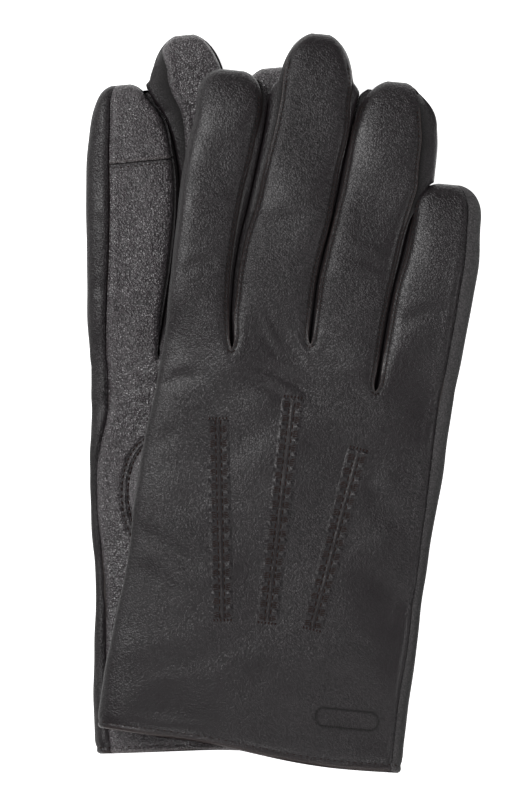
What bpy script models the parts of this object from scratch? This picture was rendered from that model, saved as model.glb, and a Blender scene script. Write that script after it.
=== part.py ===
"""A pair of lined leather touchscreen gloves, stacked flat with the thumbs folded in.

The left glove lies on its back, palm up. The right glove lies on it, back up. Both thumbs
are tucked between the two palms. Lengths here are in millimetres and become metres when a
mesh is made. Each glove has its own frame: x runs from the index side to the little finger,
y from the cuff to the fingertips, and depth from the back of the glove to its palm.
"""
import bpy
import bmesh
import math
from bisect import bisect_right

MM = 0.001

# Layers, from the outside in.
LEATHER = 0.9
LINING_OUT = 1.2
LINING_IN = 1.8
HEM_IN = 1.9
THUMB_LEATHER = 0.8
THUMB_LINING_OUT = 1.05
THUMB_LINING_IN = 1.45
BUTT_GAP = 0.45                # between two pieces that are sewn edge to edge

# Plan outline: (y, index-side edge, little-finger-side edge).
HAND_EDGES = ((0, -52.0, 52.3), (20, -51.3, 52.4), (40, -49.9, 53.9), (55, -48.2, 54.3),
              (80, -46.6, 55.5), (100, -45.2, 57.0), (120, -43.2, 58.4), (140, -42.1, 60.4))
CROTCHES = ((-18.6, 136.0), (8.0, 140.0), (31.8, 126.0))
SLIT_FEET = (-26.0, 0.0, 26.0)   # where the finger boundaries would reach the cuff
HEM_SLANT = -0.055
HEM_REACH = 28.0
HEM_BOW = (2.0, 23.0, 38.0)      # how far the cuff's edge bows out, where, and how widely

# Each finger stall: (y, left edge, right edge) up to where its tip starts to round.
INDEX = ((136, -42.3, -18.6), (150, -41.9, -20.2), (170, -41.5, -20.4), (190, -41.0, -18.8),
         (205, -39.9, -16.6), (216, -38.4, -15.4))
MIDDLE = ((140, -18.4, 7.6), (160, -17.0, 8.4), (180, -15.6, 10.8), (200, -13.9, 13.2),
          (215, -12.0, 15.0), (229, -11.0, 14.6))
RING = ((126, 8.2, 31.2), (150, 8.9, 33.3), (170, 11.1, 36.7), (185, 12.7, 38.9),
        (200, 14.1, 43.2), (210, 15.0, 43.6), (218, 16.3, 42.4))
LITTLE = ((126, 32.3, 58.8), (152, 35.6, 61.5), (172, 38.2, 62.7), (186, 40.3, 62.3))
LEFT_INDEX = ((136, -42.7, -18.6), (150, -42.0, -15.6), (169, -40.3, -10.8), (183, -39.1, -8.0),
              (198, -37.8, -6.5), (208, -36.7, -6.9), (216, -35.1, -8.2), (221, -33.8, -10.2),
              (226, -32.6, -12.8), (231, -32.0, -13.6))
LEFT_MIDDLE = ((140, -18.4, 7.6), (155, -13.8, 8.4), (170, -9.6, 9.8), (184, -6.6, 11.4),
               (200, -4.9, 12.8), (208, -5.7, 13.6), (216, -7.5, 14.0), (221, -9.3, 14.0),
               (226, -11.6, 13.8), (231, -12.4, 13.4))
RIGHT_FINGERS = (INDEX, MIDDLE, RING, LITTLE)
LEFT_FINGERS = (LEFT_INDEX, LEFT_MIDDLE, RING, LITTLE)
TIPS = (231.2, 246.3, 232.3, 199.0)
TIP_ROUND = (14.5, 20.0, 18.5, 13.0)
TIP_STEPS = (0.5, 0.83, 1.0)
TIP_NARROWING = 0.95           # part of a stall's width that its rounded tip takes away
TIP_POWERS = (2.8, 2.1, 2.1, 2.6)

# Depth through the glove.
THICKNESS = ((0, 14.0), (20, 12.8), (42, 11.0), (152, 11.0), (178, 12.5), (250, 12.5))
RIGHT_BACK_HEIGHT = ((0, 35.2), (20, 37.2), (42, 38.5), (155, 38.5), (200, 37.0), (245, 34.3))
POINTS_RECESS = 1.0            # the back is sunk this far where the points are sewn
RECESS_RAMPS = ((28, 40), (123, 135))
SECTION_POWER = 3.0
CROWN = 1.03                   # over 1, so the middle of each face is flat

# Seams.
SHOULDER_LEVEL = 0.5           # height of the points beside the glove's outer edge
SEAM_LEVEL = 0.6               # height of the finger seams, as a part of the half depth
SEAM_CLOSE = (24.0, 20.0)      # back from the tip where a side wall narrows, and how fast
SEAM_END = 0.25                # half the gap between back and palm round the fingertip
SEAM_END_TAPER = 0.08          # how much that closes for each millimetre inwards
WALL_DROP = 1.25               # how far a side wall's edge sits under the back at the crotch
WALL_END = 0.12
CROTCH_SETBACK = 1.5           # how far a crotch's inner layer lies back, for each inset
CROTCH_BLEND = 18.0            # from the crotch to where a stall has its full round shape
RADIAL_WRAP = 6.5
ULNAR_WRAP = 4.5
WRAP_LIMIT = 0.55              # the most of a stall's half width that a wrap may take
TOUCH_TIP_LENGTH = 27.0
HEM_DEPTH = 16.0
FOLD_Y = 122.0                 # the knuckle line, where the right glove's fingers fold back
HALF_SPLIT = 0.15

# Thumbs, folded flat on the palm.
THUMB_HOLE = (-22.0, 88.0)
THUMB_HOLE_RADIUS = 12.0
THUMB_MOUTH_RADIUS = 11.0
THUMB_TURN = 32.0              # degrees from the glove's length towards the little finger
THUMB_WIDTHS = ((0, 17.0), (20, 15.0), (40, 12.4), (50, 11.8))
THUMB_BASE = 17.0
THUMB_BASE_ANGLES = (12, 35, 60)
THUMB_TIP = 62.0
THUMB_TIP_ROUND = 12.0
THUMB_TIP_STEPS = (0.5, 0.8, 1.0)
THUMB_TIP_NARROWING = 0.92
THUMB_TIP_POWER = 2.4
THUMB_FLATTENING = 0.4         # power of the width that the depth follows at the ends
THUMB_HALF_DEPTH = 3.9
THUMB_GAP = 0.3
THUMB_SIDES = 12
HOLE_MARGIN = 2.0              # how far a thumb hole's cutter reaches past the palm
CYLINDER_SIDES = 20

# Decorative points: start and end of each ridge in plan.
POINTS = {"index": ((-13.1, 43.8), (-21.0, 111.7)),
          "middle": ((2.1, 44.2), (3.9, 121.3)),
          "ring": ((17.6, 43.5), (27.8, 105.8))}
POINT_WIDTH = 7.3
POINT_DEPTHS = (0.1, 0.65)
POINT_BEVEL = 0.2

LEAN = 5.3                     # degrees that each glove turns from the pair's length
BACK, PALM = 1, -1
LEFT, RIGHT = -1, 1
OUTER_SIDES = ((0, LEFT), (3, RIGHT))
HAND_ROWS = (0, 14, 28, 40, 80, FOLD_Y)
WEB_ROWS = (126, 136, 140, 149)
INNER_COLUMNS = (-0.5, 0.5)
END = 999.0                    # beyond every fingertip
SMOOTH_ANGLE = 40.0


def ramp(value, start, end):
    """Smooth step from 0 at start to 1 at end."""
    t = min(max((value - start) / (end - start), 0.0), 1.0)
    return t * t * (3 - 2 * t)


def curve(knots, y, column=1):
    """Smooth curve through the knots that never overshoots them, level beyond its ends."""
    stations = [knot[0] for knot in knots]
    values = [knot[column] for knot in knots]
    y = min(max(y, stations[0]), stations[-1])
    steps = [(values[i + 1] - values[i]) / (stations[i + 1] - stations[i])
             for i in range(len(knots) - 1)]
    slopes = [steps[0]]
    for before, after in zip(steps, steps[1:]):
        slopes.append(2 * before * after / (before + after) if before * after > 0 else 0.0)
    slopes.append(steps[-1])
    i = min(bisect_right(stations, y), len(steps)) - 1
    span = stations[i + 1] - stations[i]
    t = (y - stations[i]) / span
    return ((1 + 2 * t) * (1 - t) ** 2 * values[i] + t * (1 - t) ** 2 * span * slopes[i]
            + t * t * (3 - 2 * t) * values[i + 1] + t * t * (t - 1) * span * slopes[i + 1])


def depths(y):
    """Depth of the back and of the palm at y."""
    first, last = RECESS_RAMPS
    recess = POINTS_RECESS * (ramp(y, *first) - ramp(y, *last))
    return recess, curve(THICKNESS, y)


class Section:
    """Cross-section of the hand or of one finger stall, moved inwards by inset."""

    def __init__(self, left, right, y, inset, width_part=1.0, depth_part=1.0):
        back, palm = depths(y)
        self.x = (left + right) / 2
        self.half = ((right - left) / 2 - inset) * width_part
        self.depth = (back + palm) / 2
        self.rise = ((palm - back) / 2 - inset) * depth_part

    def on_face(self, x, face):
        """Point on the back or palm face at x."""
        part = min(abs(x - self.x) / self.half, 1.0)
        height = min(CROWN * (1 - part ** SECTION_POWER) ** (1 / SECTION_POWER), 1.0)
        return x, self.depth - face * self.rise * height

    def on_side(self, side, level):
        """Point on the left or right side, level from -1 at the palm to 1 at the back."""
        reach = (1 - abs(level / CROWN) ** SECTION_POWER) ** (1 / SECTION_POWER)
        return self.x + side * self.half * reach, self.depth - level * self.rise


def blend(a, b, weight):
    """Point between a and b."""
    return tuple(p + (q - p) * weight for p, q in zip(a, b))


def rows_for(finger, low, high):
    """Rows (y, tip part) of one finger's strip of the glove between low and high."""
    tip, rounding = TIPS[finger], TIP_ROUND[finger]
    split = tip - TOUCH_TIP_LENGTH
    web = WEB_ROWS[-1]
    plain = list(HAND_ROWS) + list(WEB_ROWS)
    plain += [web + (split - web) * part for part in (1 / 2, 1)] + [tip - rounding]
    rows = [(float(y), 0.0) for y in plain]
    rows += [(tip - rounding * (1 - part), part) for part in TIP_STEPS]
    inside = [row for row in rows if low < row[0] < high]
    first = [(low, 0.0)] if low <= rows[-1][0] else []
    last = [(high, 0.0)] if high <= rows[-1][0] else []
    return first + inside + last


class Glove:
    """Shape of one glove: finger table and the way depth turns into height."""

    def __init__(self, fingers, back_up):
        self.fingers = fingers
        self.back_up = back_up

    def place(self, x, y, depth):
        """Point of the glove's frame, in millimetres, from x, y and depth."""
        deep, at, reach = HEM_BOW
        bow = deep * max(1 - ((x - at) / reach) ** 2, 0.0) ** 2
        slant = (HEM_SLANT * x - bow) * max(1 - y / HEM_REACH, 0.0)
        height = curve(RIGHT_BACK_HEIGHT, y) - depth if self.back_up else depth
        return x, y + slant, height

    def hand(self, y, inset):
        """Section of the hand at y."""
        return Section(curve(HAND_EDGES, y, 1), curve(HAND_EDGES, y, 2), y, inset)

    def stall(self, finger, row, inset):
        """Section of one finger's stall, smaller as the row's tip part nears 1."""
        y, tip_part = row
        knots = self.fingers[finger]
        power = TIP_POWERS[finger]
        width_part = (1 - TIP_NARROWING * tip_part ** power) ** (1 / power)
        depth_part = (1 - tip_part ** SECTION_POWER) ** (1 / SECTION_POWER)
        return Section(curve(knots, y, 1), curve(knots, y, 2), y, inset, width_part, depth_part)

    def seam_level(self, finger, row, inset=0.0):
        """Level of a finger's seams, which close on each other near the fingertip."""
        start, length = SEAM_CLOSE
        begin = TIPS[finger] - start
        level = SEAM_LEVEL * (1 - ramp(row[0], begin, begin + length))
        rise = self.stall(finger, row, inset).rise
        return max(level, SEAM_END / rise) if rise > SEAM_END else 1.0

    def boundary(self, finger, side, y):
        """x of the line between two fingers, or of the hand's edge."""
        gap = finger if side == RIGHT else finger - 1
        if gap < 0:
            return curve(HAND_EDGES, y, 1)
        if gap > 2:
            return curve(HAND_EDGES, y, 2)
        x, crotch = CROTCHES[gap]
        return SLIT_FEET[gap] + (x - SLIT_FEET[gap]) * min(y / crotch, 1.0)

    def crotch(self, finger, side):
        """y of the crotch on that side of the finger, or of the finger's only crotch."""
        gap = finger if side == RIGHT else finger - 1
        return CROTCHES[min(max(gap, 0), 2)][1]

    def weight(self, finger, across, y):
        """0 in the hand, 1 in the round stall; across runs from -1 left to 1 right."""
        left, right = self.crotch(finger, LEFT), self.crotch(finger, RIGHT)
        crotch = left + (right - left) * (across + 1) / 2
        return ramp(y, crotch, crotch + CROTCH_BLEND)

    def tip_y(self, row, inset):
        """y of a row, drawn back by the inset as it nears the fingertip."""
        return row[0] - inset * row[1]

    def tip_depth(self, stall, face, inset):
        """Depth of the seam that joins back and palm round the fingertip."""
        return stall.depth - face * (SEAM_END - SEAM_END_TAPER * inset)

    def face_point(self, finger, row, face, across, inset):
        """Point inside a finger's strip of the back or palm."""
        y = row[0]
        left, right = (self.boundary(finger, side, y) for side in (LEFT, RIGHT))
        x = left + (right - left) * (across + 1) / 2
        flat = self.hand(y, inset).on_face(x, face)
        stall = self.stall(finger, row, inset)
        level = self.seam_level(finger, row)
        edge, _ = stall.on_side(RIGHT, min(level, 1.0))
        round_x = stall.x + across * (edge - stall.x)
        if row[1] == 1.0:
            rounded = (round_x, self.tip_depth(stall, face, inset))
        else:
            rounded = stall.on_face(round_x, face)
        point = blend(flat, rounded, self.weight(finger, across, y))
        return self.place(point[0], self.tip_y(row, inset), point[1])

    def wall_point(self, finger, row, side, face, inset, gap=0.0, drop=0.0):
        """Point on a finger's side: face is BACK, 0 half way, or PALM."""
        y = row[0]
        crotch = self.crotch(finger, side)
        x = self.boundary(finger, side, y)
        hand = self.hand(y, inset)
        _, face_depth = hand.on_face(x, BACK)
        rise = hand.depth - face_depth - drop
        if y > crotch:
            x -= side * inset
        flat = (x, hand.depth - face * rise)
        stall = self.stall(finger, row, inset)
        whole = self.stall(finger, row, 0.0)
        if row[1] == 1.0:
            rounded = (stall.x + side * stall.half, self.tip_depth(stall, face, inset))
        else:
            height = self.seam_level(finger, row) - gap / whole.rise
            level = max(height, WALL_END / whole.rise) * face
            rounded = stall.on_side(side, level)
        point = blend(flat, rounded, self.weight(finger, side, y))
        along = self.tip_y(row, inset) - (CROTCH_SETBACK * inset if y == crotch else 0.0)
        return self.place(point[0], along, point[1])

    def edge_point(self, finger, row, face, inset):
        """Point round the glove's outer edge: face is BACK, 0 at the very edge, or PALM."""
        side = LEFT if finger == 0 else RIGHT
        level = SHOULDER_LEVEL * face
        flat = self.hand(row[0], inset).on_side(side, level)
        stall = self.stall(finger, row, inset)
        rounded = stall.on_side(side, level)
        if row[1] == 1.0:
            rounded = (stall.x + side * stall.half, self.tip_depth(stall, face, inset))
        point = blend(flat, rounded, self.weight(finger, side, row[0]))
        return self.place(point[0], self.tip_y(row, inset), point[1])

    def wrap_point(self, finger, row, gap, inset):
        """Point on a side seam, which lies round the edge on the other face."""
        if finger == 0:
            side, reach, face = LEFT, RADIAL_WRAP, PALM
        else:
            side, reach, face = RIGHT, ULNAR_WRAP, BACK
        points = []
        for section in (self.hand(row[0], inset), self.stall(finger, row, inset)):
            wrap = min(reach, WRAP_LIMIT * section.half) + gap
            points.append(section.on_face(section.x + side * (section.half - wrap), face))
        point = blend(*points, self.weight(finger, side, row[0]))
        if row[1] == 1.0:
            stall = self.stall(finger, row, inset)
            point = (point[0], self.tip_depth(stall, face, inset))
        return self.place(point[0], self.tip_y(row, inset), point[1])


class Shell:
    """Leather or lining built from quads of (outer, inner) point pairs."""

    def __init__(self, outer, inner):
        self.insets = (outer, inner)
        self.index = {}
        self.pairs = []
        self.faces = []

    def corner(self, pair):
        """Index of a pair of points, shared by the strips that meet there."""
        key = tuple(round(value, 3) for value in pair[0])
        if key not in self.index:
            self.index[key] = len(self.pairs)
            self.pairs.append(pair)
        return self.index[key]

    def line(self, makers):
        """Corners of one row: each maker gives a point for an inset."""
        return [self.corner(tuple(maker(inset) for inset in self.insets)) for maker in makers]

    def grid(self, lines):
        """Fill between rows; every layer splits its quads along the same diagonal."""
        for low, high in zip(lines, lines[1:]):
            for i in range(len(low) - 1):
                for corners in ((low[i], low[i + 1], high[i + 1]),
                                (low[i], high[i + 1], high[i])):
                    if len(set(corners)) == 3:
                        self.faces.append(list(corners))

    def mesh(self, name):
        """Closed mesh: both skins, and a rim along every free edge."""
        count = len(self.pairs)
        points = [pair[0] for pair in self.pairs] + [pair[1] for pair in self.pairs]
        faces = [list(face) for face in self.faces]
        faces += [[index + count for index in reversed(face)] for face in self.faces]
        edges = {}
        for face in self.faces:
            for a, b in zip(face, face[1:] + face[:1]):
                edges.setdefault(frozenset((a, b)), []).append((a, b))
        for uses in edges.values():
            if len(uses) == 1:
                a, b = uses[0]
                faces.append([b, a, a + count, b + count])
        return closed_mesh(name, points, faces)


def closed_mesh(name, points, faces):
    """Mesh in metres from points in millimetres, with its faces turned outwards."""
    mesh = bpy.data.meshes.new(name)
    mesh.from_pydata([[value * MM for value in point] for point in points], [], faces)
    work = bmesh.new()
    work.from_mesh(mesh)
    bmesh.ops.recalc_face_normals(work, faces=work.faces)
    if work.calc_volume(signed=True) < 0:
        bmesh.ops.reverse_faces(work, faces=work.faces)
    work.to_mesh(mesh)
    work.free()
    mesh.shade_smooth()
    mesh.set_sharp_from_angle(angle=math.radians(SMOOTH_ANGLE))
    return mesh


def face_columns(glove, finger, face, row, seam_gap):
    """Point makers across one finger's strip of the back or palm.

    The back wraps round the index edge and the palm round the little finger's edge, each to
    a side seam on the other face. Each maker turns an inset into a point.
    """
    def inner(across):
        return lambda inset: glove.face_point(finger, row, face, across, inset)

    def slit(side):
        return lambda inset: glove.wall_point(finger, row, side, face, inset)

    def edge(level):
        return lambda inset: glove.edge_point(finger, row, level, inset)

    def seam(inset):
        return glove.wrap_point(finger, row, seam_gap, inset)

    columns = [inner(across) for across in INNER_COLUMNS]
    if finger in (1, 2):
        return [slit(LEFT)] + columns + [slit(RIGHT)]
    if finger == 3:
        columns = columns[::-1]
    if face == (BACK if finger == 0 else PALM):
        outside = [seam, edge(-face), edge(0), edge(face)]
    else:
        outside = [seam]
        columns = columns[1:]
    across = outside + columns + [slit(RIGHT if finger == 0 else LEFT)]
    return across if finger == 0 else across[::-1]


def panel(glove, name, face, low=0.0, high=END, fingers=range(4), finger_high=None):
    """Back or palm leather between two rows; finger_high ends single fingers early."""
    shell = Shell(0.0, LEATHER)
    for finger in fingers:
        top = (finger_high or {}).get(finger, high)
        gap = 0.0 if (finger == 0) == (face == BACK) else BUTT_GAP
        lines = [shell.line(face_columns(glove, finger, face, row, gap))
                 for row in rows_for(finger, low, top)]
        shell.grid(lines)
    return shell.mesh(name)


def wall_lines(glove, shell, finger, side, rows, gap=0.0, drop=None):
    """Rows of a finger's side wall, from its crotch upwards."""
    lines = []
    for row in rows:
        if row[0] < glove.crotch(finger, side):
            continue
        lines.append(shell.line([
            lambda inset, face=face: glove.wall_point(
                finger, row, side, face, inset, gap, drop - inset if drop else 0.0)
            for face in (BACK, 0, PALM)]))
    return lines


def side_wall(glove, name, gap):
    """Forked leather wall between two fingers, from tip to crotch to tip."""
    shell = Shell(0.0, LEATHER)
    for finger, side in ((gap, RIGHT), (gap + 1, LEFT)):
        rows = [row for row in rows_for(finger, 0.0, END) if row[1] <= TIP_STEPS[0]]
        shell.grid(wall_lines(glove, shell, finger, side, rows, BUTT_GAP, WALL_DROP))
    return shell.mesh(name)


def lining(glove, name, low, high):
    """Fabric liner: both faces, the walls between fingers and the closed tips."""
    shell = Shell(LINING_OUT, LINING_IN)
    for finger in range(4):
        rows = rows_for(finger, low, high)
        for face in (BACK, PALM):
            shell.grid([shell.line(face_columns(glove, finger, face, row, 0.0))
                        for row in rows])
        if high <= FOLD_Y:
            continue
        for side in (LEFT, RIGHT):
            if (finger, side) not in OUTER_SIDES:
                shell.grid(wall_lines(glove, shell, finger, side, rows))
        close_tip(glove, shell, finger, rows[-1])
    return shell.mesh(name)


def close_tip(glove, shell, finger, row):
    """Last strip of the liner, across the end of a fingertip."""
    def end(side, face):
        if (finger, side) in OUTER_SIDES:
            return lambda inset: glove.edge_point(finger, row, face, inset)
        return lambda inset: glove.wall_point(finger, row, side, face, inset)

    lines = []
    for face in (BACK, 0, PALM):
        inner = [lambda inset, across=across: glove.face_point(finger, row, face, across, inset)
                 for across in INNER_COLUMNS]
        if (finger, face) == (0, PALM):
            inner[0] = lambda inset: glove.wrap_point(finger, row, 0.0, inset)
        if (finger, face) == (3, BACK):
            inner[-1] = lambda inset: glove.wrap_point(finger, row, 0.0, inset)
        lines.append(shell.line([end(LEFT, face)] + inner + [end(RIGHT, face)]))
    shell.grid(lines)


def hem(glove, name):
    """Leather turned in at the cuff: a closed band that the lining starts from."""
    shell = Shell(LINING_OUT, HEM_IN)
    for finger in range(4):
        for face in (BACK, PALM):
            shell.grid([shell.line(face_columns(glove, finger, face, row, 0.0))
                        for row in rows_for(finger, 0.0, HEM_DEPTH)])
    return shell.mesh(name)


def thumb_solid(name, inset):
    """Filled thumb pouch along +Y about the thumb hole's centre."""
    base = [(-math.cos(math.radians(angle)) * (THUMB_BASE - inset),
             math.sin(math.radians(angle))) for angle in THUMB_BASE_ANGLES]
    body = [(y, 1.0) for y, _ in THUMB_WIDTHS]
    tip = [(THUMB_TIP - THUMB_TIP_ROUND + (THUMB_TIP_ROUND - inset) * part,
            (1 - THUMB_TIP_NARROWING * part ** THUMB_TIP_POWER) ** (1 / THUMB_TIP_POWER))
           for part in THUMB_TIP_STEPS]
    points = []
    for y, part in base + body + tip:
        half = (curve(THUMB_WIDTHS, y) - inset) * part
        rise = (THUMB_HALF_DEPTH - inset) * part ** THUMB_FLATTENING
        for i in range(THUMB_SIDES):
            angle = 2 * math.pi * (i + 0.5) / THUMB_SIDES
            c, s = math.cos(angle), math.sin(angle)
            power = 2 / SECTION_POWER
            points.append((math.copysign(abs(c) ** power, c) * half, y,
                           math.copysign(abs(s) ** power, s) * rise))
    rings = len(points) // THUMB_SIDES
    faces = []
    for ring in range(rings - 1):
        for i in range(THUMB_SIDES):
            j = (i + 1) % THUMB_SIDES
            start, above = ring * THUMB_SIDES, (ring + 1) * THUMB_SIDES
            faces.append([start + i, start + j, above + j, above + i])
    faces.append(list(range(THUMB_SIDES)))
    faces.append([(rings - 1) * THUMB_SIDES + i for i in reversed(range(THUMB_SIDES))])
    return closed_mesh(name, points, faces)


def point_ridge(glove, name, start, end):
    """Flat raised bar that carries one decorative row of stitches on the back."""
    middle = [(a + b) / 2 for a, b in zip(start, end)]
    length = math.dist(start, end)
    turn = -math.atan2(end[0] - start[0], end[1] - start[1])
    outer, inner = POINT_DEPTHS
    _, _, high = glove.place(*middle, outer)
    _, _, low = glove.place(*middle, inner)
    mesh = bpy.data.meshes.new(name)
    work = bmesh.new()
    bmesh.ops.create_cube(work, size=1.0)
    bmesh.ops.scale(work, vec=(POINT_WIDTH * MM, length * MM, abs(high - low) * MM),
                    verts=work.verts)
    work.to_mesh(mesh)
    work.free()
    ridge = add_object(name, mesh, (*middle, (high + low) / 2), turn)
    bevel = ridge.modifiers.new("soft_edge", "BEVEL")
    bevel.width = POINT_BEVEL * MM
    bevel.segments = 1
    return ridge


def add_object(name, mesh, location=(0, 0, 0), turn=0.0, parent=None):
    """Object in the scene, at a place given in millimetres."""
    item = bpy.data.objects.new(name, mesh)
    item.location = [value * MM for value in location]
    item.rotation_euler = (0, 0, turn)
    item.parent = parent
    bpy.context.collection.objects.link(item)
    return item


def cylinder(name, radius, low, high, place=(0, 0)):
    """Cutter along Z, which never shows."""
    mesh = bpy.data.meshes.new(name)
    work = bmesh.new()
    bmesh.ops.create_cone(work, cap_ends=True, segments=CYLINDER_SIDES, radius1=radius * MM,
                          radius2=radius * MM, depth=(high - low) * MM)
    work.to_mesh(mesh)
    work.free()
    item = add_object(name, mesh, (*place, (low + high) / 2))
    return as_cutter(item)


def as_cutter(item):
    """Hide a shape that only cuts others."""
    item.hide_render = True
    item.display_type = "WIRE"
    return item


def cut(item, cutter):
    """Take the cutter's shape out of the item."""
    boolean = item.modifiers.new(cutter.name, "BOOLEAN")
    boolean.operation = "DIFFERENCE"
    boolean.solver = "EXACT"
    boolean.object = cutter


def material(name, colour, roughness):
    """Plain leather, fabric or thread."""
    made = bpy.data.materials.new(name)
    made.use_nodes = True
    shader = made.node_tree.nodes["Principled BSDF"]
    shader.inputs["Base Color"].default_value = (*colour, 1.0)
    shader.inputs["Roughness"].default_value = roughness
    shader.inputs["Metallic"].default_value = 0.0
    return made


def finish(item, made, parent):
    """Give the item its material and its parent."""
    item.data.materials.append(made)
    item.parent = parent


def make_thumb(side, glove, parent, materials):
    """Thumb pouch and its lining, on an empty at the centre of the thumb hole."""
    _, palm = depths(THUMB_HOLE[1])
    centre = palm + THUMB_GAP + THUMB_HALF_DEPTH
    _, _, height = glove.place(*THUMB_HOLE, centre)
    pivot = add_object(side + "_thumb_pivot", None, (*THUMB_HOLE, height),
                       -math.radians(THUMB_TURN), parent)
    towards_palm = 1 if glove.back_up else -1
    ends = sorted((0.0, towards_palm * 2 * THUMB_HALF_DEPTH))
    mouth = cylinder(side + "_thumb_mouth_cutter", THUMB_MOUTH_RADIUS, *ends)
    mouth.parent = pivot
    layers = (("_thumb", 0.0, THUMB_LEATHER, materials["palm"]),
              ("_thumb_lining", THUMB_LINING_OUT, THUMB_LINING_IN, materials["lining"]))
    for suffix, outer, inner, made in layers:
        piece = add_object(side + suffix, thumb_solid(side + suffix, outer))
        hollow = as_cutter(add_object(side + suffix + "_hollow",
                                      thumb_solid(side + suffix + "_hollow", inner)))
        hollow.parent = pivot
        cut(piece, hollow)
        cut(piece, mouth)
        finish(piece, made, pivot)


def cut_thumb_hole(side, glove, parent, pieces):
    """Round hole through the palm side of the leather and the lining."""
    back, palm = depths(THUMB_HOLE[1])
    heights = sorted(glove.place(*THUMB_HOLE, depth)[2]
                     for depth in ((back + palm) / 2, palm + HOLE_MARGIN))
    cutter = cylinder(side + "_thumb_hole_cutter", THUMB_HOLE_RADIUS, *heights, THUMB_HOLE)
    cutter.parent = parent
    for piece in pieces:
        cut(piece, cutter)


def add_piece(name, mesh, made, parent):
    """Finished piece whose mesh is in its glove's frame."""
    piece = add_object(name, mesh)
    finish(piece, made, parent)
    return piece


def make_shared(side, glove, hand, fingers, materials):
    """Pieces that both gloves have in the same form."""
    tip_start = TIPS[0] - TOUCH_TIP_LENGTH + HALF_SPLIT
    pieces = [(side + "_touch_tip",
               panel(glove, side + "_touch_tip", PALM, tip_start, END, (0,)), "touch")]
    for gap, label in enumerate(("index_middle", "middle_ring", "ring_little")):
        name = side + "_fourchette_" + label
        pieces.append((name, side_wall(glove, name, gap), "back"))
    for name, mesh, made in pieces:
        piece = add_piece(name, mesh, materials[made], fingers)
        if fingers is not hand:
            piece.location = -fingers.location
    add_piece(side + "_cuff_hem", hem(glove, side + "_cuff_hem"), materials["back"], hand)
    for label, (start, end) in POINTS.items():
        ridge = point_ridge(glove, side + "_point_" + label, start, end)
        finish(ridge, materials["thread"], hand)
    make_thumb(side, glove, hand, materials)


def make_left(materials):
    """Lower glove, palm up: every leather piece is whole."""
    glove = Glove(LEFT_FINGERS, back_up=False)
    root = add_object("left_glove_place", None, turn=math.radians(LEAN))
    split = {0: TIPS[0] - TOUCH_TIP_LENGTH - HALF_SPLIT}
    add_piece("left_back_panel", panel(glove, "left_back_panel", BACK), materials["back"], root)
    palm = add_piece("left_palm_panel", panel(glove, "left_palm_panel", PALM, finger_high=split),
                     materials["palm"], root)
    liner = add_piece("left_lining",
                      lining(glove, "left_lining", HEM_DEPTH + 2 * HALF_SPLIT, END),
                      materials["lining"], root)
    cut_thumb_hole("left", glove, root, (palm, liner))
    make_shared("left", glove, root, root, materials)
    return root


def make_right(materials):
    """Upper glove, back up: panels and lining meet at the knuckle fold."""
    glove = Glove(RIGHT_FINGERS, back_up=True)
    root = add_object("right_glove_place", None, turn=-math.radians(LEAN))
    _, _, fold_height = glove.place(0.0, FOLD_Y, 0.0)
    fold = add_object("right_finger_fold", None, (0.0, FOLD_Y, fold_height), parent=root)
    below, above = FOLD_Y - HALF_SPLIT, FOLD_Y + HALF_SPLIT
    split = {0: TIPS[0] - TOUCH_TIP_LENGTH - HALF_SPLIT}
    lining_start = HEM_DEPTH + 2 * HALF_SPLIT
    pieces = {
        "right_back_panel_hand": (panel(glove, "back", BACK, 0.0, below), "back", root),
        "right_back_panel_fingers": (panel(glove, "back", BACK, above), "back", fold),
        "right_palm_panel_hand": (panel(glove, "palm", PALM, 0.0, below), "palm", root),
        "right_palm_panel_fingers": (panel(glove, "palm", PALM, above, finger_high=split),
                                     "palm", fold),
        "right_lining_hand": (lining(glove, "lining", lining_start, below), "lining", root),
        "right_lining_fingers": (lining(glove, "lining", above, END), "lining", fold),
    }
    made = {}
    for name, (mesh, look, parent) in pieces.items():
        made[name] = add_piece(name, mesh, materials[look], parent)
        if parent is fold:
            made[name].location = -fold.location
    cut_thumb_hole("right", glove, root,
                   (made["right_palm_panel_hand"], made["right_lining_hand"]))
    make_shared("right", glove, root, fold, materials)
    return root


def centre_pair(roots):
    """Move both gloves so that the pair's box is centred over the origin."""
    bpy.context.view_layer.update()
    graph = bpy.context.evaluated_depsgraph_get()
    corners = []
    for item in bpy.context.scene.objects:
        if item.type == "MESH" and not item.hide_render:
            seen = item.evaluated_get(graph)
            corners += [seen.matrix_world @ vertex.co for vertex in seen.data.vertices]
    for axis in (0, 1):
        values = [corner[axis] for corner in corners]
        middle = (min(values) + max(values)) / 2
        for root in roots:
            root.location[axis] -= middle
    low = min(corner[2] for corner in corners)
    for root in roots:
        root.location[2] -= low
    bpy.context.view_layer.update()


def main():
    """Clear the scene and build both gloves."""
    for item in list(bpy.data.objects):
        bpy.data.objects.remove(item, do_unlink=True)
    materials = {
        "back": material("back_leather", (0.034, 0.030, 0.031), 0.42),
        "palm": material("palm_leather", (0.062, 0.054, 0.056), 0.48),
        "touch": material("touch_leather", (0.050, 0.046, 0.050), 0.44),
        "lining": material("lining_fabric", (0.045, 0.038, 0.036), 0.9),
        "thread": material("stitch_thread", (0.060, 0.032, 0.026), 0.7),
    }
    centre_pair((make_left(materials), make_right(materials)))


main()
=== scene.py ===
"""Looks of a stacked pair of leather touchscreen gloves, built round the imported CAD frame.

Lengths are in millimetres in each glove's own frame: x runs from the index side to the little
finger, y from the cuff to the fingertips, and depth from the back of the glove to its palm.
"""
import math

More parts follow.
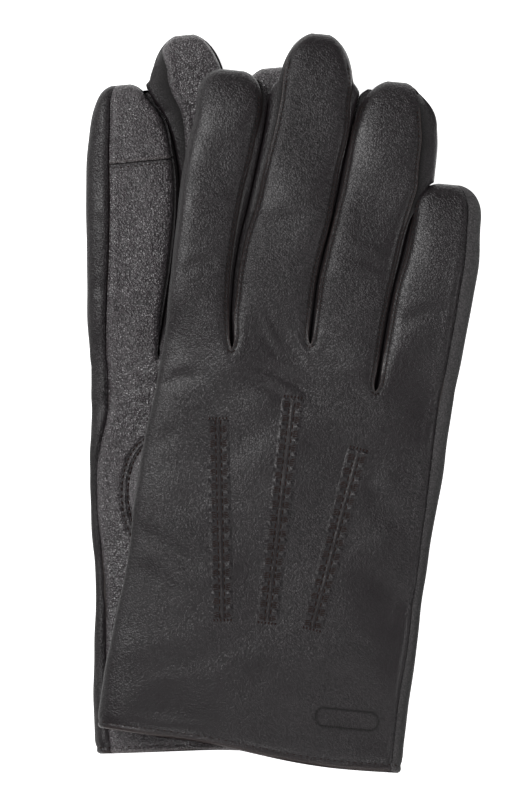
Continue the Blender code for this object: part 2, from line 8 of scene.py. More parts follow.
import bpy
import numpy as np
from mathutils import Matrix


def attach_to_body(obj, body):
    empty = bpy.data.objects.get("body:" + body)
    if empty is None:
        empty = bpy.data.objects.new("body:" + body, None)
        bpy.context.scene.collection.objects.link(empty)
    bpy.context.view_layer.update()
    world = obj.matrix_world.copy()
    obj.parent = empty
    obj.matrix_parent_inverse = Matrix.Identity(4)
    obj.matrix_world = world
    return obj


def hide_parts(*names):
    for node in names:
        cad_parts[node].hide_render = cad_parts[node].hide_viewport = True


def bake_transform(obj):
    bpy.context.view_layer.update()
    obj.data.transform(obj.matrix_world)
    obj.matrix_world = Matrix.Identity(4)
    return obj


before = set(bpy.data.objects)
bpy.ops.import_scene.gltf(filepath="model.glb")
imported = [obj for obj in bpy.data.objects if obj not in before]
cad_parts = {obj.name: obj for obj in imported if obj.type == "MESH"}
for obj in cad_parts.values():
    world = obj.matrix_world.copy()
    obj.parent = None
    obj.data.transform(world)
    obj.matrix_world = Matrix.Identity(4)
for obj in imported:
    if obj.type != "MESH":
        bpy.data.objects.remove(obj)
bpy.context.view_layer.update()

MM = 0.001
BACK, PALM = 1, -1
LEFT, RIGHT = -1, 1

# The gloves' outlines. The slits between the fingers lie up to 2 mm from the CAD's.
# Edges are (y, index-side edge, little-finger-side edge).
PAIR_ORIGIN = (-11.678, -118.368)
LEAN = math.radians(5.3)
HAND_EDGES = ((0, -52.0, 52.3), (20, -51.3, 52.4), (40, -49.9, 53.9), (55, -48.2, 54.3),
              (80, -46.6, 55.5), (100, -45.2, 57.0), (120, -43.2, 58.4), (140, -42.1, 60.4))
CROTCHES = ((-18.6, 136.0), (8.0, 140.0), (31.8, 126.0))
SLIT_FEET = (-26.0, 0.0, 26.0)  # where the finger boundaries would reach the cuff
HEM_SLANT = -0.055
HEM_REACH = 28.0
HEM_BOW = (2.0, 23.0, 38.0)     # depth, place and half width of the bow of the cuff's edge
INDEX = ((136, -42.3, -18.6), (150, -41.9, -20.6), (160, -41.7, -20.9), (177, -41.3, -20.2),
         (190, -41.0, -18.8), (205, -39.9, -17.0), (216, -38.4, -16.0))
MIDDLE = ((140, -18.4, 7.6), (150, -19.2, 7.9), (160, -19.2, 8.2), (172, -18.3, 9.6),
          (185, -15.7, 11.6), (200, -13.7, 13.2), (215, -12.0, 15.0), (229, -11.0, 14.6))
RING = ((126, 8.2, 31.2), (150, 8.4, 33.2), (160, 8.7, 34.3), (171, 10.0, 36.0), (183, 11.9, 37.8),
        (192, 13.0, 41.3), (198, 13.6, 43.4), (210, 14.7, 43.8), (218, 16.3, 42.4))
LITTLE = ((126, 32.3, 58.8), (140, 33.1, 60.3), (152, 33.9, 61.5), (163, 35.0, 62.2),
          (174, 37.0, 62.7), (186, 38.7, 62.3))
LEFT_INDEX = ((136, -42.7, -18.6), (150, -42.0, -15.6), (169, -40.3, -10.8), (183, -39.1, -8.0),
              (198, -37.8, -6.5), (208, -36.7, -6.9), (216, -35.1, -8.2), (221, -33.8, -10.2),
              (226, -32.6, -12.8), (231, -32.0, -13.6))
LEFT_MIDDLE = ((140, -18.4, 7.6), (155, -13.8, 8.4), (170, -9.6, 9.8), (184, -6.6, 11.4),
               (200, -4.9, 12.8), (208, -5.7, 13.6), (216, -7.5, 14.0), (221, -9.3, 14.0),
               (226, -11.6, 13.8), (231, -12.4, 13.4))
TIPS = (231.2, 246.3, 232.3, 199.0)
TIP_ROUND = (14.5, 20.0, 18.5, 13.0)
TIP_NARROWING = 0.95            # part of a stall's width that its rounded tip takes away
TIP_POWERS = (2.8, 2.1, 2.1, 2.6)
THICKNESS = ((0, 14.0), (20, 12.8), (42, 11.0), (152, 11.0), (178, 12.5), (250, 12.5))
RIGHT_BACK_HEIGHT = ((0, 35.2), (20, 37.2), (42, 38.5), (155, 38.5), (200, 37.0), (245, 34.3))
RECESS_RAMPS = ((28, 40), (123, 135))
CROTCH_BLEND = 18.0             # from the crotch to where a stall has its full round shape
TOUCH_SEAM = TIPS[0] - 27.0     # the touch tip covers the finger from here up
HEM_DEPTH = 16.0
FOLD_Y = 122.0
FOLD_REACH = (-12.0, 14.0)      # two offsets from FOLD_Y, about the knuckle line

# Cross-sections: a hand that lies flat, and rounder finger stalls.
HAND_POWER = 3.0
STALL_POWER = 4.0
SEAM_LEVEL = 0.66              # height of the finger seams, as a part of the half depth
SLIT_OPENING = 5.0             # a slit reaches its full width this far above its foot
# How far some panels' edges stand back from a finger's side, in half widths, at each y.
LEFT_MIDDLE_BACK = ((198, 0.0), (209, 0.26), (222, 0.46), (234, 0.42), (243, 0.0))
RIGHT_MIDDLE_BACK = ((195, 0.0), (210, 0.06), (232, 0.10), (242, 0.0))
RIGHT_RING_BACK = ((183, 0.0), (192, 0.15), (203, 0.24), (220, 0.26), (228, 0.20), (232, 0.0))
WALL_END = 2.6                 # from the end of a side wall to the fingertip
SEAM_CLOSE = (24.0, 20.0)      # back from the tip where a side wall narrows, and how fast
FLOOR_DEPTH = 0.03             # the lower glove's leather goes no lower than this

# Layers, from the outside in.
LEATHER = 0.9
THIN_LEATHER = 0.8             # of the side walls and the thumbs
LINING = (1.2, 1.8)
HEM = (0.95, 1.9)
EDGE_ROLL = 1.3                # radius of the turned-in cuff

# Seams and stitches.
PITCH = 1.6
STITCH = (0.85, 0.36)          # length and width, here and below
THUMB_STITCH = (1.2, 0.55)
HEM_STITCH_ROW = 2.4           # from the cuff's edge
HEM_STITCHES = 11              # on each finger's width
TOUCH_STITCHES = 9
TOUCH_STITCH_DROP = 1.3        # below the touch tip's seam
LAP = 1.05                     # from a raw edge to its stitches
# Place of the two outer seams, as a part of a finger's width, at each y.
RADIAL_SEAM = ((0, 0.16), (55, 0.143), (73, 0.104), (90, 0.062), (103, 0.08), (109, 0.127),
               (124, 0.245), (200, 0.26))
ULNAR_SEAM = ((0, 0.115), (65, 0.105), (120, 0.17), (199, 0.19))
BUTT_GAP = 0.008               # half a plain seam's gap, as a part of a finger's width
WALL_BULGE = 2.4               # the most that a side wall swells towards the next finger
WALL_SHADE = -0.2              # deep in a slit
WALL_ROUND = 6.0               # how square the swelling of a side wall is
WALL_LEVELS = (1, 0.8, 0.45, 0, -0.45, -0.8, -1)
WALL_TUCKS = (1.3, 0.5)        # how far a side wall's edges reach under the back and palm
# Shading across a side wall, dark where it is tucked in.
TUCK_SHADES = (0.9, 0.9, 0.9, 0.15, 0, 0, 0, 0, 0, 0.15, 0.9, 0.9, 0.9)
STRIP_WIDTH = 24.0             # roughly, of one finger's strip
TOUCH_GAP = 0.15               # half the gap between the touch tip and the palm

# Thumbs.
THUMB_HOLE = (-22.0, 88.0)
THUMB_SEAM = (12.5, 21.0)      # half axes of the seam round the thumb hole
THUMB_TURN = math.radians(32.0)
THUMB_WIDTHS = ((-14, 6.0), (-7, 9.0), (0, 12.6), (7, 14.0), (16, 14.0), (40, 12.2), (50, 11.6),
                (62, 11.4))
THUMB_BASE = 14.0
THUMB_TIP = 62.0
THUMB_TIP_ROUND = 13.0
THUMB_LINING = (1.05, 1.45)
THUMB_HALF_DEPTH = 3.85
THUMB_GAP = 0.3
THUMB_MOUTH = 10.5             # radius of the pouch's opening
HOLE_MARGIN = -2.2             # the palm leather reaches this far inside its seam

# Decorative points on the back.
POINTS = {"index": ((-13.1, 43.8), (-21.0, 111.7)),
          "middle": ((2.1, 44.2), (3.9, 121.3)),
          "ring": ((17.6, 43.5), (27.8, 105.8))}
POINT_HALF = 4.1
POINT_STEP = 0.42              # between the rows of its mesh
POINT_DEPTH = 0.55             # of its underside, below the leather
POINT_STITCH = (1.7, 0.42)
BAR_STITCH = (1.75, 0.30)
END_STITCH = (0.9, 0.55)
END_SPOTS = (-2.9, -1.75, -0.6, 0.6, 1.75, 2.9)
BLOCK = 4.9                    # from one bundle of bar stitches to the next
BLOCK_STITCHES = (0.08, 0.20, 0.32, 0.44)

# Plain pressed mark near the cuff.
MARK = (32.4, 15.2)
MARK_HALF = (10.7, 2.7)        # half its length and half its width
MARK_TURN = math.radians(-0.5)

# Mesh steps.
FINGER_START = 150.2           # the rows of each finger start here
GRID = 1.3
BACK_GRID = 1.0                # of the right glove's back
MARK_GRID = 0.5
PALM_GRID = 0.6                # of the palm leather round the thumb hole
HAND_GRID = 1.4
LINING_GRID = 4.0
LINING_COLUMNS = 13            # on each finger's width
POUCH_SIDES = 72
POUCH_LINING_SIDES = 32
SHARP_ANGLE = math.radians(50)

# Materials.
BACK_LEATHER = {"dark": (0.0082, 0.0055, 0.0068), "light": (0.0142, 0.0096, 0.0119),
                "worn": (0.050, 0.032, 0.028), "roughness": 0.34, "specular": 0.48,
                "grain": 1600.0, "relief": 0.26, "tilt": 0.13, "patchy": 0.35, "contrast": 0.6,
                "valley_shade": 0.5}
PALM_LEATHER = {"dark": (0.044, 0.0360, 0.0402), "light": (0.072, 0.0600, 0.0662),
                "worn": (0.100, 0.078, 0.074), "roughness": 0.27, "specular": 0.90,
                "grain": 1500.0, "relief": 0.46, "tilt": 0.22, "patchy": 0.75, "contrast": 0.5,
                "valley_shade": 0.35}
TOUCH_LEATHER = {**PALM_LEATHER, "dark": (0.046, 0.0380, 0.0422),
                 "light": (0.073, 0.0610, 0.0672), "worn": (0.095, 0.078, 0.074),
                 "roughness": 0.26, "specular": 0.95, "grain": 1550.0, "patchy": 0.85}
LINING_COLOURS = (0.022, 0.017, 0.016), (0.045, 0.036, 0.033)
THREAD_COLOURS = (0.0130, 0.0066, 0.0058), (0.0330, 0.0175, 0.0150)
# near-black painted shade, which seams, stitch holes, grooves, tucks and slits are mixed towards
SHADE_COLOUR = (0.0035, 0.0026, 0.0026, 1)
DULL = 0.9                     # roughness of fabric, valleys and holes
BUMP_DISTANCE = 0.00026        # in metres, the height of the grain's bump map at 1
# Distances from a pebble's middle, as parts of the space between two: the valley's floor and
# the end of its dark tone, and where the flat top starts.
VALLEY_START, VALLEY_END = 0.66, 0.42
PEBBLE_TOP = 0.28

# Studio, in metres and watts.
LENS, SENSOR, VIEW_HEIGHT = 600.0, 36.0, 0.2763
CAMERA_X, CAMERA_Z = -0.0072, 0.034
FLOOR_HALF, FLOOR_Z = 3.0, -0.001
LIGHT_AIM = (0, 0, 0.02)
LIGHTS = (("key", (-0.50, 0.35, 0.75), (0.5, 0.4), 4.6),
          ("top", (-0.45, 0.20, 1.6), (0.5, 0.4), 5.2),
          ("fill", (1.2, -0.3, 1.2), (0.6, 0.6), 4.6),
          ("front", (0.1, -1.1, 1.2), (0.7, 0.5), 6.0))
WORLD_STRENGTH = 0.14


# ---------------------------------------------------------------- shapes

def ramp(value, start, end):
    """Smooth step from 0 at start to 1 at end."""
    t = np.clip((value - start) / (end - start), 0.0, 1.0)
    return t * t * (3 - 2 * t)


def bell(value, centre, width):
    return np.exp(-((value - centre) / width) ** 2)


def jitter(value):
    """Uneven but repeatable numbers from -1 to 1."""
    return np.sin(value * 12.99 + 4.1) * np.cos(value * 78.23)


def curve(knots, y, column=1):
    """Smooth curve through the knots that never overshoots them, level beyond its ends."""
    table = np.array(knots, float)
    stations, values = table[:, 0], table[:, column]
    y = np.clip(y, stations[0], stations[-1])
    steps = np.diff(values) / np.diff(stations)
    before, after = steps[:-1], steps[1:]
    total = np.where(before + after == 0, 1.0, before + after)
    inner = np.where(before * after > 0, 2 * before * after / total, 0.0)
    slopes = np.concatenate((steps[:1], inner, steps[-1:]))
    i = np.clip(np.searchsorted(stations, y, side="right") - 1, 0, len(steps) - 1)
    span = stations[i + 1] - stations[i]
    t = (y - stations[i]) / span
    return ((1 + 2 * t) * (1 - t) ** 2 * values[i] + t * (1 - t) ** 2 * span * slopes[i]
            + t * t * (3 - 2 * t) * values[i + 1] + t * t * (t - 1) * span * slopes[i + 1])


def beside(start, end, along, across):
    """x and y at a distance along the line from start to end and across it."""
    length = math.dist(start, end)
    ux, uy = (end[0] - start[0]) / length, (end[1] - start[1]) / length
    return start[0] + along * ux + across * uy, start[1] + along * uy - across * ux


def superellipse(part, power):
    return np.maximum(1 - np.abs(part) ** power, 0.0) ** (1 / power)


def gap_beside(finger, side):
    """Number of the slit on one side of a finger, -1 or 3 at the glove's outer edges."""
    return finger if side == RIGHT else finger - 1


def wraps(finger, face):
    """Whether an outer finger's panel goes on round the glove's edge, onto the other face."""
    return (face == BACK) == (finger == 0)


class Glove:
    """Shape of one glove, and where it lies in the pair."""

    def __init__(self, side, fingers, back_up, recess, puff, stand_back):
        self.side = side
        self.fingers = fingers
        self.back_up = back_up
        self.turn = -LEAN if back_up else LEAN
        self.recess = recess
        self.puff = puff
        self.stand_back = stand_back

    def place(self, x, y, depth):
        """Points in metres in the pair's frame."""
        deep, at, reach = HEM_BOW
        bow = deep * np.maximum(1 - ((x - at) / reach) ** 2, 0.0) ** 2
        y = y + (HEM_SLANT * x - bow) * np.maximum(1 - y / HEM_REACH, 0.0)
        if self.back_up:
            height = curve(RIGHT_BACK_HEIGHT, y) - depth
        else:
            height = np.maximum(depth, FLOOR_DEPTH)
        c, s = math.cos(self.turn), math.sin(self.turn)
        return np.stack((PAIR_ORIGIN[0] + x * c - y * s, PAIR_ORIGIN[1] + x * s + y * c,
                         height), -1) * MM

    def depths(self, y):
        """Depth of the middle of the glove, and half its thickness."""
        first, last = RECESS_RAMPS
        back = self.recess * (ramp(y, *first) - ramp(y, *last))
        palm = curve(THICKNESS, y)
        return (back + palm) / 2, (palm - back) / 2

    def boundary(self, finger, side, y):
        gap = gap_beside(finger, side)
        if gap < 0:
            return curve(HAND_EDGES, y, 1)
        if gap > 2:
            return curve(HAND_EDGES, y, 2)
        x, crotch = CROTCHES[gap]
        return SLIT_FEET[gap] + (x - SLIT_FEET[gap]) * np.minimum(y / crotch, 1.0)

    def crotch(self, finger, side):
        return CROTCHES[min(max(gap_beside(finger, side), 0), 2)][1]

    def crotch_at(self, finger, across):
        left, right = self.crotch(finger, LEFT), self.crotch(finger, RIGHT)
        return left + (right - left) * across

    def level(self, finger, y):
        """Level of a finger's seams on its side, which close on each other at the tip."""
        start, length = SEAM_CLOSE
        begin = TIPS[finger] - start
        return SEAM_LEVEL * (1 - ramp(y, begin, begin + length))

    def hand(self, x, y, face, inset=0.0):
        """x and depth on the hand's back or palm."""
        left, right = curve(HAND_EDGES, y, 1), curve(HAND_EDGES, y, 2)
        middle, half = (left + right) / 2, (right - left) / 2
        part = np.clip((x - middle) / half, -1.0, 1.0)
        centre, rise = self.depths(y)
        return (middle + part * (half - inset),
                centre - face * (rise - inset) * superellipse(part, HAND_POWER))

    def stall(self, finger, y, inset=0.0):
        """Middle, half width, depth and half depth of one finger's stall."""
        tip, rounding = TIPS[finger], TIP_ROUND[finger]
        tip_part = np.clip((y - tip + rounding) / rounding, 0.0, 1.0)
        left, right = (curve(self.fingers[finger], y, column) for column in (1, 2))
        power = TIP_POWERS[finger]
        narrow = np.maximum(1 - TIP_NARROWING * tip_part ** power, 0.0) ** (1 / power)
        centre, rise = self.depths(y)
        return ((left + right) / 2, ((right - left) / 2 - inset) * narrow, centre,
                (rise - inset) * superellipse(tip_part, HAND_POWER), tip_part)

    def weight(self, finger, across, y):
        """0 in the hand, 1 in the round stall."""
        crotch = self.crotch_at(finger, across)
        return ramp(y, crotch, crotch + CROTCH_BLEND)

    def opening(self, finger, across, y):
        """0 in the hand, 1 where the slits beside the finger have their full width."""
        crotch = self.crotch_at(finger, across)
        return 1 - (1 - np.clip((y - crotch) / SLIT_OPENING, 0.0, 1.0)) ** 3

    def bulge(self, finger, side, y):
        """How far a side wall swells towards the next finger."""
        gap = gap_beside(finger, side)
        left, left_half = self.stall(gap, y)[:2]
        right, right_half = self.stall(gap + 1, y)[:2]
        between = (right - right_half - left - left_half) / 2
        return np.clip(between, 0.0, WALL_BULGE) * (1 - ramp(between, WALL_BULGE, 2 * WALL_BULGE))

    def strip(self, finger, face, y, f, inset=0.0):
        """x, y, depth on one finger's strip; f runs from 0 at its left edge to 1 at its right.

        Beyond the glove's outer edge f goes on round it, onto the other face.
        """
        own, across = face, f
        if finger == 0:
            own, across = np.where(f < 0, -face, face), np.abs(f)
        if finger == 3:
            own, across = np.where(f > 1, -face, face), np.where(f > 1, 2 - f, f)
        left, right = (self.boundary(finger, side, y) for side in (LEFT, RIGHT))
        flat_x, flat_depth = self.hand(left + across * (right - left), y, own, inset)
        middle, half, centre, rise, tip_part = self.stall(finger, y, inset)
        reach = superellipse(self.level(finger, y), STALL_POWER)
        low = -1.0 if finger == 0 else -reach
        high = 1.0 if finger == 3 else reach
        low = low + self.stood_back(finger, LEFT, face, y)
        high = high - self.stood_back(finger, RIGHT, face, y)
        part = low + across * (high - low)
        swell = self.puff * superellipse(tip_part, HAND_POWER) * (own == BACK)
        round_depth = centre - own * (rise * superellipse(part, STALL_POWER)
                                      + swell * (1 - part ** 2))
        x = flat_x + (middle + part * half - flat_x) * self.opening(finger, across, y)
        depth = flat_depth + (round_depth - flat_depth) * self.weight(finger, across, y)
        return x, y - inset * tip_part, depth

    def stood_back(self, finger, side, face, y):
        """How far a panel's edge stands back from its finger's side, in half widths."""
        table = self.stand_back.get((finger, side))
        if table is None or (face == BACK) != self.back_up:
            return 0.0 * y
        return curve(table, y)

    def slits(self, finger, y, f, x):
        """Distance from each raw edge that the finger's strip has."""
        left, right = (self.boundary(finger, side, y) for side in (LEFT, RIGHT))
        _, half, _, _, _ = self.stall(finger, y)
        w = self.opening(finger, f, y)
        width = (right - left) * (1 - w) + 2 * half * superellipse(SEAM_LEVEL, STALL_POWER) * w
        found = []
        for side, inside in ((LEFT, f), (RIGHT, 1 - f)):
            gap = gap_beside(finger, side)
            if 0 <= gap <= 2:
                foot_x, crotch = CROTCHES[gap]
                found.append(np.where(y >= crotch, inside * width,
                                      np.hypot(x - foot_x, y - crotch)))
        return found, width

    def surface(self, finger, face, y, f, inset=0.0, raised=True):
        """Points in metres, with the seams and folds of the leather pressed into them."""
        y, f = np.broadcast_arrays(np.asarray(y, float), np.asarray(f, float))
        points = self.place(*self.strip(finger, face, y, f, inset))
        if not raised:
            return points
        lift, normal = self.lift(finger, face, y, f)
        return points + normal * lift[..., None] * MM

    def lift(self, finger, face, y, f):
        """How far the leather stands out at each point, and which way."""
        x, _, _ = self.strip(finger, face, y, f)
        normal = self.normal(finger, face, y, f)
        slits, width = self.slits(finger, y, f, x)
        height = folds(self, face, x, y)
        for distance in slits:
            height = height + (lapped(distance, y) if face == BACK else rolled(distance))
        if finger in (0, 3):
            seam = curve(RADIAL_SEAM if finger == 0 else ULNAR_SEAM, y)
            seam = -seam if wraps(finger, face) else seam
            seam = seam if finger == 0 else 1 - seam
            height = height + rolled(np.abs(f - seam) * width)
        if finger == 0 and face == PALM:
            height = height + touch_relief(y - TOUCH_SEAM)
        _, _, _, _, tip_part = self.stall(finger, y)
        return height * (1 - tip_part ** 4), normal

    def normal(self, finger, face, y, f):
        """Outward direction of the smooth shape under the relief."""
        small_y, small_f = 0.15, 0.004
        top = TIPS[finger] - 1e-6

        def spot(y, f):
            return self.place(*self.strip(finger, face, np.minimum(y, top), f))

        along = spot(y + small_y, f) - spot(np.minimum(y, top) - small_y, f)
        across = spot(y, f + small_f) - spot(y, f - small_f)
        normal = np.cross(across, along)
        length = np.linalg.norm(normal, axis=-1, keepdims=True)
        normal = normal / np.maximum(length, 1e-12)
        return normal if (face == BACK) == self.back_up else -normal


# ---------------------------------------------------------------- relief of the leather

def holes_at(y):
    """1 at each stitch hole along a finger, 0 half way between two."""
    return 0.5 - 0.5 * np.cos(2 * math.pi * y / PITCH)


def relief(distance, *parts):
    """Sum of ridges and grooves, each with its height, place and half width."""
    return sum(height * bell(distance, place, width) for height, place, width in parts)


def lapped(distance, y):
    """Raw edge stitched down over the piece below."""
    pucker = np.cos(math.pi * y / PITCH + 0.6)
    return relief(distance, (-0.06, LAP, 0.5), (-0.20 * holes_at(y), LAP, 0.4),
                  (0.08, 3.2, 1.4), (0.04 * pucker, 2.6, 1.0))


def rolled(distance):
    """Two edges sewn from the inside, which turn down into their seam."""
    return relief(distance, (-0.5, 0.0, 0.75), (0.22, 2.4, 1.3))


def touch_relief(above):
    """Lip of the touch tip, folded over the palm leather below it."""
    return relief(above, (0.50, 0.9, 0.8), (-0.3, -0.5, 0.4), (0.1, -2, 1))


def touch_wear(above, x):
    """Painted highlight on the touch tip's lip, and painted shade in the seam under it and in its
    stitch holes.
    """
    return relief(above, (0.5, 0.6, 0.35), (-0.8, -0.3, 0.4), (-0.8 * holes_at(x), -1.3, 0.4))


def crease(x, y, start, end, bow, width, height):
    """Soft fold along an arc from start to end; bow is how far its middle stands off."""
    (x0, y0), (x1, y1) = start, end
    length = math.hypot(x1 - x0, y1 - y0)
    ux, uy = (x1 - x0) / length, (y1 - y0) / length
    along = ((x - x0) * ux + (y - y0) * uy) / length
    off = (y - y0) * ux - (x - x0) * uy - 4 * bow * along * (1 - along)
    fade = ramp(along, -0.05, 0.3) * (1 - ramp(along, 0.65, 1.05))
    return height * fade * (bell(off, 0, width) - 0.5 * bell(off, 1.9 * width, width))


BACK_CREASES = (
    ((-15, 131), (14, 119), 3.0, 1.5, -0.32), ((-17, 127), (10, 113), 3.0, 1.8, -0.26),
    ((-12, 134), (4, 128), 1.5, 0.9, -0.20), ((-4, 150), (7, 134), -1.0, 1.1, -0.25),
    ((-8, 152), (3, 136), -1.0, 1.0, -0.20), ((-12, 150), (-2, 134), -1.0, 1.2, -0.16),
    ((12, 137), (28, 122), 1.5, 1.6, -0.22), ((14, 131), (33, 116), 2.0, 2.0, -0.20),
    ((-47, 72), (-20, 58), 1.5, 3.2, -0.55), ((-48, 60), (-26, 49), 1.0, 3.0, -0.45),
    ((-44, 118), (-26, 126), 2.0, 2.6, -0.35), ((-46, 96), (-30, 108), 1.5, 3.0, -0.30),
    ((30, 96), (54, 78), -3.0, 4.0, -0.42), ((34, 62), (53, 52), 1.0, 3.4, -0.35),
    ((-40, 24), (-12, 30), 1.0, 4.0, -0.40), ((6, 27), (44, 24), 1.0, 4.5, -0.35),
    ((-39, 160), (-24, 165), 1.5, 2.2, -0.35), ((-38, 185), (-22, 181), 1.0, 2.0, -0.25),
    ((-14, 178), (6, 184), 1.0, 2.2, -0.25), ((12, 172), (33, 167), 1.0, 2.2, -0.30),
    ((37, 150), (59, 157), 1.0, 2.4, -0.35),
)
PALM_CREASES = (
    ((-30, 128), (10, 112), 5.0, 2.2, -0.55), ((-12, 120), (30, 104), 6.0, 2.4, -0.55),
    ((-40, 60), (-10, 40), -3.0, 3.2, -0.60), ((0, 96), (40, 70), 5.0, 3.0, -0.50),
    ((-41, 158), (-20, 152), 1.0, 1.6, -0.45), ((-40, 186), (-16, 181), 1.0, 1.8, -0.40),
    ((-40, 170), (-18, 173), 1.0, 2.4, -0.25), ((-14, 168), (8, 164), 1.0, 1.6, -0.45),
    ((-12, 197), (12, 193), 1.0, 1.8, -0.35), ((10, 162), (34, 158), 1.0, 1.6, -0.40),
    ((35, 150), (59, 146), 1.0, 1.6, -0.40), ((-44, 118), (-34, 132), 1.0, 2.2, -0.35),
    ((-45, 34), (-10, 24), 1.0, 3.5, -0.45), ((8, 34), (46, 26), 1.0, 3.5, -0.40),
)


def waves(face, x, y):
    """Slow waves and soft creases of worn-in leather."""
    height = (0.42 * np.sin(x / 8.5 + 1.3) * np.sin(y / 13.0 + 0.4)
              + 0.22 * np.sin((x + 0.7 * y) / 6.3 + 2.0) * np.sin(y / 19.0 + 1.0)
              + 0.10 * np.sin((x - 1.3 * y) / 4.1) * np.sin((x + y) / 23.0))
    for start, end, bow, width, depth in (BACK_CREASES if face == BACK else PALM_CREASES):
        height = height + crease(x, y, start, end, bow, width, depth)
    return height


def folds(glove, face, x, y):
    """Relief of the whole back or palm away from the slits."""
    height = waves(face, x, y) + relief(y, (-0.28, HEM_STITCH_ROW, 0.7), (0.16, 5.5, 2.2))
    if face == PALM:
        height = height + thumb_seam_relief(x, y)
    elif glove.back_up:
        height = height - 0.5 * (1 - ramp(mark_distance(x, y), -0.4, 0.4))
    return height


def oval(x, y):
    """Rough distance outside the seam round the thumb hole."""
    u, v = x - THUMB_HOLE[0], y - THUMB_HOLE[1]
    a, b = THUMB_SEAM
    size = np.sqrt((u / a) ** 2 + (v / b) ** 2)
    slope = np.sqrt((u / a ** 2) ** 2 + (v / b ** 2) ** 2)
    return (size - 1) * size / np.maximum(slope, 1e-6)


def clear_of_hole(x, y):
    """Which quads of a grid lie outside the thumb hole."""
    hole = oval(x, y) < HOLE_MARGIN
    return ~(hole[:-1, :-1] | hole[:-1, 1:] | hole[1:, 1:] | hole[1:, :-1])


def thumb_seam_relief(x, y):
    distance = oval(x, y)
    turn = np.arctan2(y - THUMB_HOLE[1], x - THUMB_HOLE[0])
    seam = relief(distance, (-0.30, 1.1, 0.5), (0.25, 2.8, 1.2),
                  (0.12 * np.sin(26 * turn), 3.0, 1.6), (0.25, 0.1, 0.5))
    return seam - 0.9 * (1 - ramp(distance, -1.0, -0.2))


def mark_distance(x, y):
    """Distance outside the pressed mark, a plain bar with round ends."""
    c, s = math.cos(MARK_TURN), math.sin(MARK_TURN)
    u, v = x - MARK[0], y - MARK[1]
    along, across = np.abs(u * c + v * s), np.abs(v * c - u * s)
    half, radius = MARK_HALF
    return np.hypot(np.maximum(along - (half - radius), 0.0), across) - radius


# ---------------------------------------------------------------- meshes

def grid_quads(index, keep=None):
    """Quads between the points of a grid."""
    quads = np.stack((index[:-1, :-1], index[:-1, 1:], index[1:, 1:], index[1:, :-1]), -1)
    return (quads if keep is None else quads[keep]).reshape(-1, 4)


class Skin:
    """Mesh of an outer and an inner layer, closed along its free edges."""

    def __init__(self):
        self.outer, self.inner, self.wear, self.quads = [], [], [], []
        self.count = 0

    def add(self, outer, inner, wear=None, shared=None, keep=None):
        """Add a grid; shared holds the indices that its points already have, or -1."""
        index = np.full(outer.shape[:2], -1) if shared is None else shared
        fresh = index < 0
        index[fresh] = self.count + np.arange(fresh.sum())
        self.count += int(fresh.sum())
        self.outer.append(outer[fresh])
        self.inner.append(inner[fresh])
        self.wear.append((np.zeros(outer.shape[:2]) if wear is None else wear)[fresh])
        self.quads.append(grid_quads(index, keep))
        return index

    def add_ring(self, outer, inner, wear=None, keep=None):
        """Add a closed band, whose last column lies on its first."""
        rows, columns = outer.shape[:2]
        index = np.arange(rows * (columns - 1)).reshape(rows, -1)
        index = np.concatenate((index, index[:, :1]), 1)
        wear = np.zeros((rows, 1)) if wear is None else wear
        self.outer.append(outer[:, :-1].reshape(-1, 3))
        self.inner.append(inner[:, :-1].reshape(-1, 3))
        self.wear.append(np.repeat(wear, columns - 1, 1).reshape(-1))
        self.quads.append(grid_quads(index, keep))

    def build(self, name, material):
        outer, inner = np.concatenate(self.outer), np.concatenate(self.inner)
        quads, wear = np.concatenate(self.quads), np.concatenate(self.wear)
        count = len(outer)
        ends = np.concatenate([quads[:, [i, (i + 1) % 4]] for i in range(4)])
        _, first, uses = np.unique(np.sort(ends, 1), axis=0, return_index=True,
                                   return_counts=True)
        free = ends[first[uses == 1]]
        rim = np.stack((free[:, 1], free[:, 0], free[:, 0] + count, free[:, 1] + count), 1)
        faces = np.concatenate((quads, quads[:, ::-1] + count, rim))
        return mesh_object(name, np.concatenate((outer, inner)), faces, material,
                           np.concatenate((wear, wear)))


def mesh_object(name, points, faces, material, wear=None):
    """Object whose faces point outwards, with loose points dropped."""
    used = np.unique(faces)
    renumber = np.full(len(points), -1)
    renumber[used] = np.arange(len(used))
    points, faces = points[used], renumber[faces]
    a, b, c = (points[faces[:, i]] for i in range(3))
    d = points[faces[:, -1]]
    volume = np.einsum("ij,ij->i", a, np.cross(b, c) + np.cross(c, d)).sum()
    if volume < 0:
        faces = faces[:, ::-1]
    mesh = bpy.data.meshes.new(name)
    mesh.from_pydata(points.tolist(), [], faces.tolist())
    mesh.shade_smooth()
    mesh.set_sharp_from_angle(angle=SHARP_ANGLE)
    # per point: real wear lightens above 0, painted shade darkens below 0
    layer = mesh.attributes.new("wear", "FLOAT", "POINT")
    values = np.zeros(len(points)) if wear is None else wear[used]
    layer.data.foreach_set("value", values.astype(np.float32))
    mesh.materials.append(material)
    made = bpy.data.objects.new(name, mesh)
    bpy.context.collection.objects.link(made)
    return made


def rows_of_hand(fine=False, thumb_step=HAND_GRID):
    """Rows from the cuff to above the crotches, closer where the hem and stitches are."""
    rows = [0.0, 0.15, 0.4, 0.85, 1.4, 1.9, 2.4, 2.9, 3.5, 4.3, 5.2]
    for start, end, step in ((6.0, 22.0, MARK_GRID if fine else GRID), (22.0, 62.0, HAND_GRID),
                             (62.0, 114.0, thumb_step), (114.0, 120.0, HAND_GRID)):
        rows += list(np.arange(start, end, step))
    rows += list(stitch_rows(120.0, FINGER_START)) + [crotch for _, crotch in CROTCHES]
    return np.unique(np.round(rows, 3))


def stitch_rows(start, end):
    """Rows between start and end, one at each stitch and one at each stitch hole."""
    step = PITCH / 2
    return np.arange(math.ceil(start / step), end / step) * step


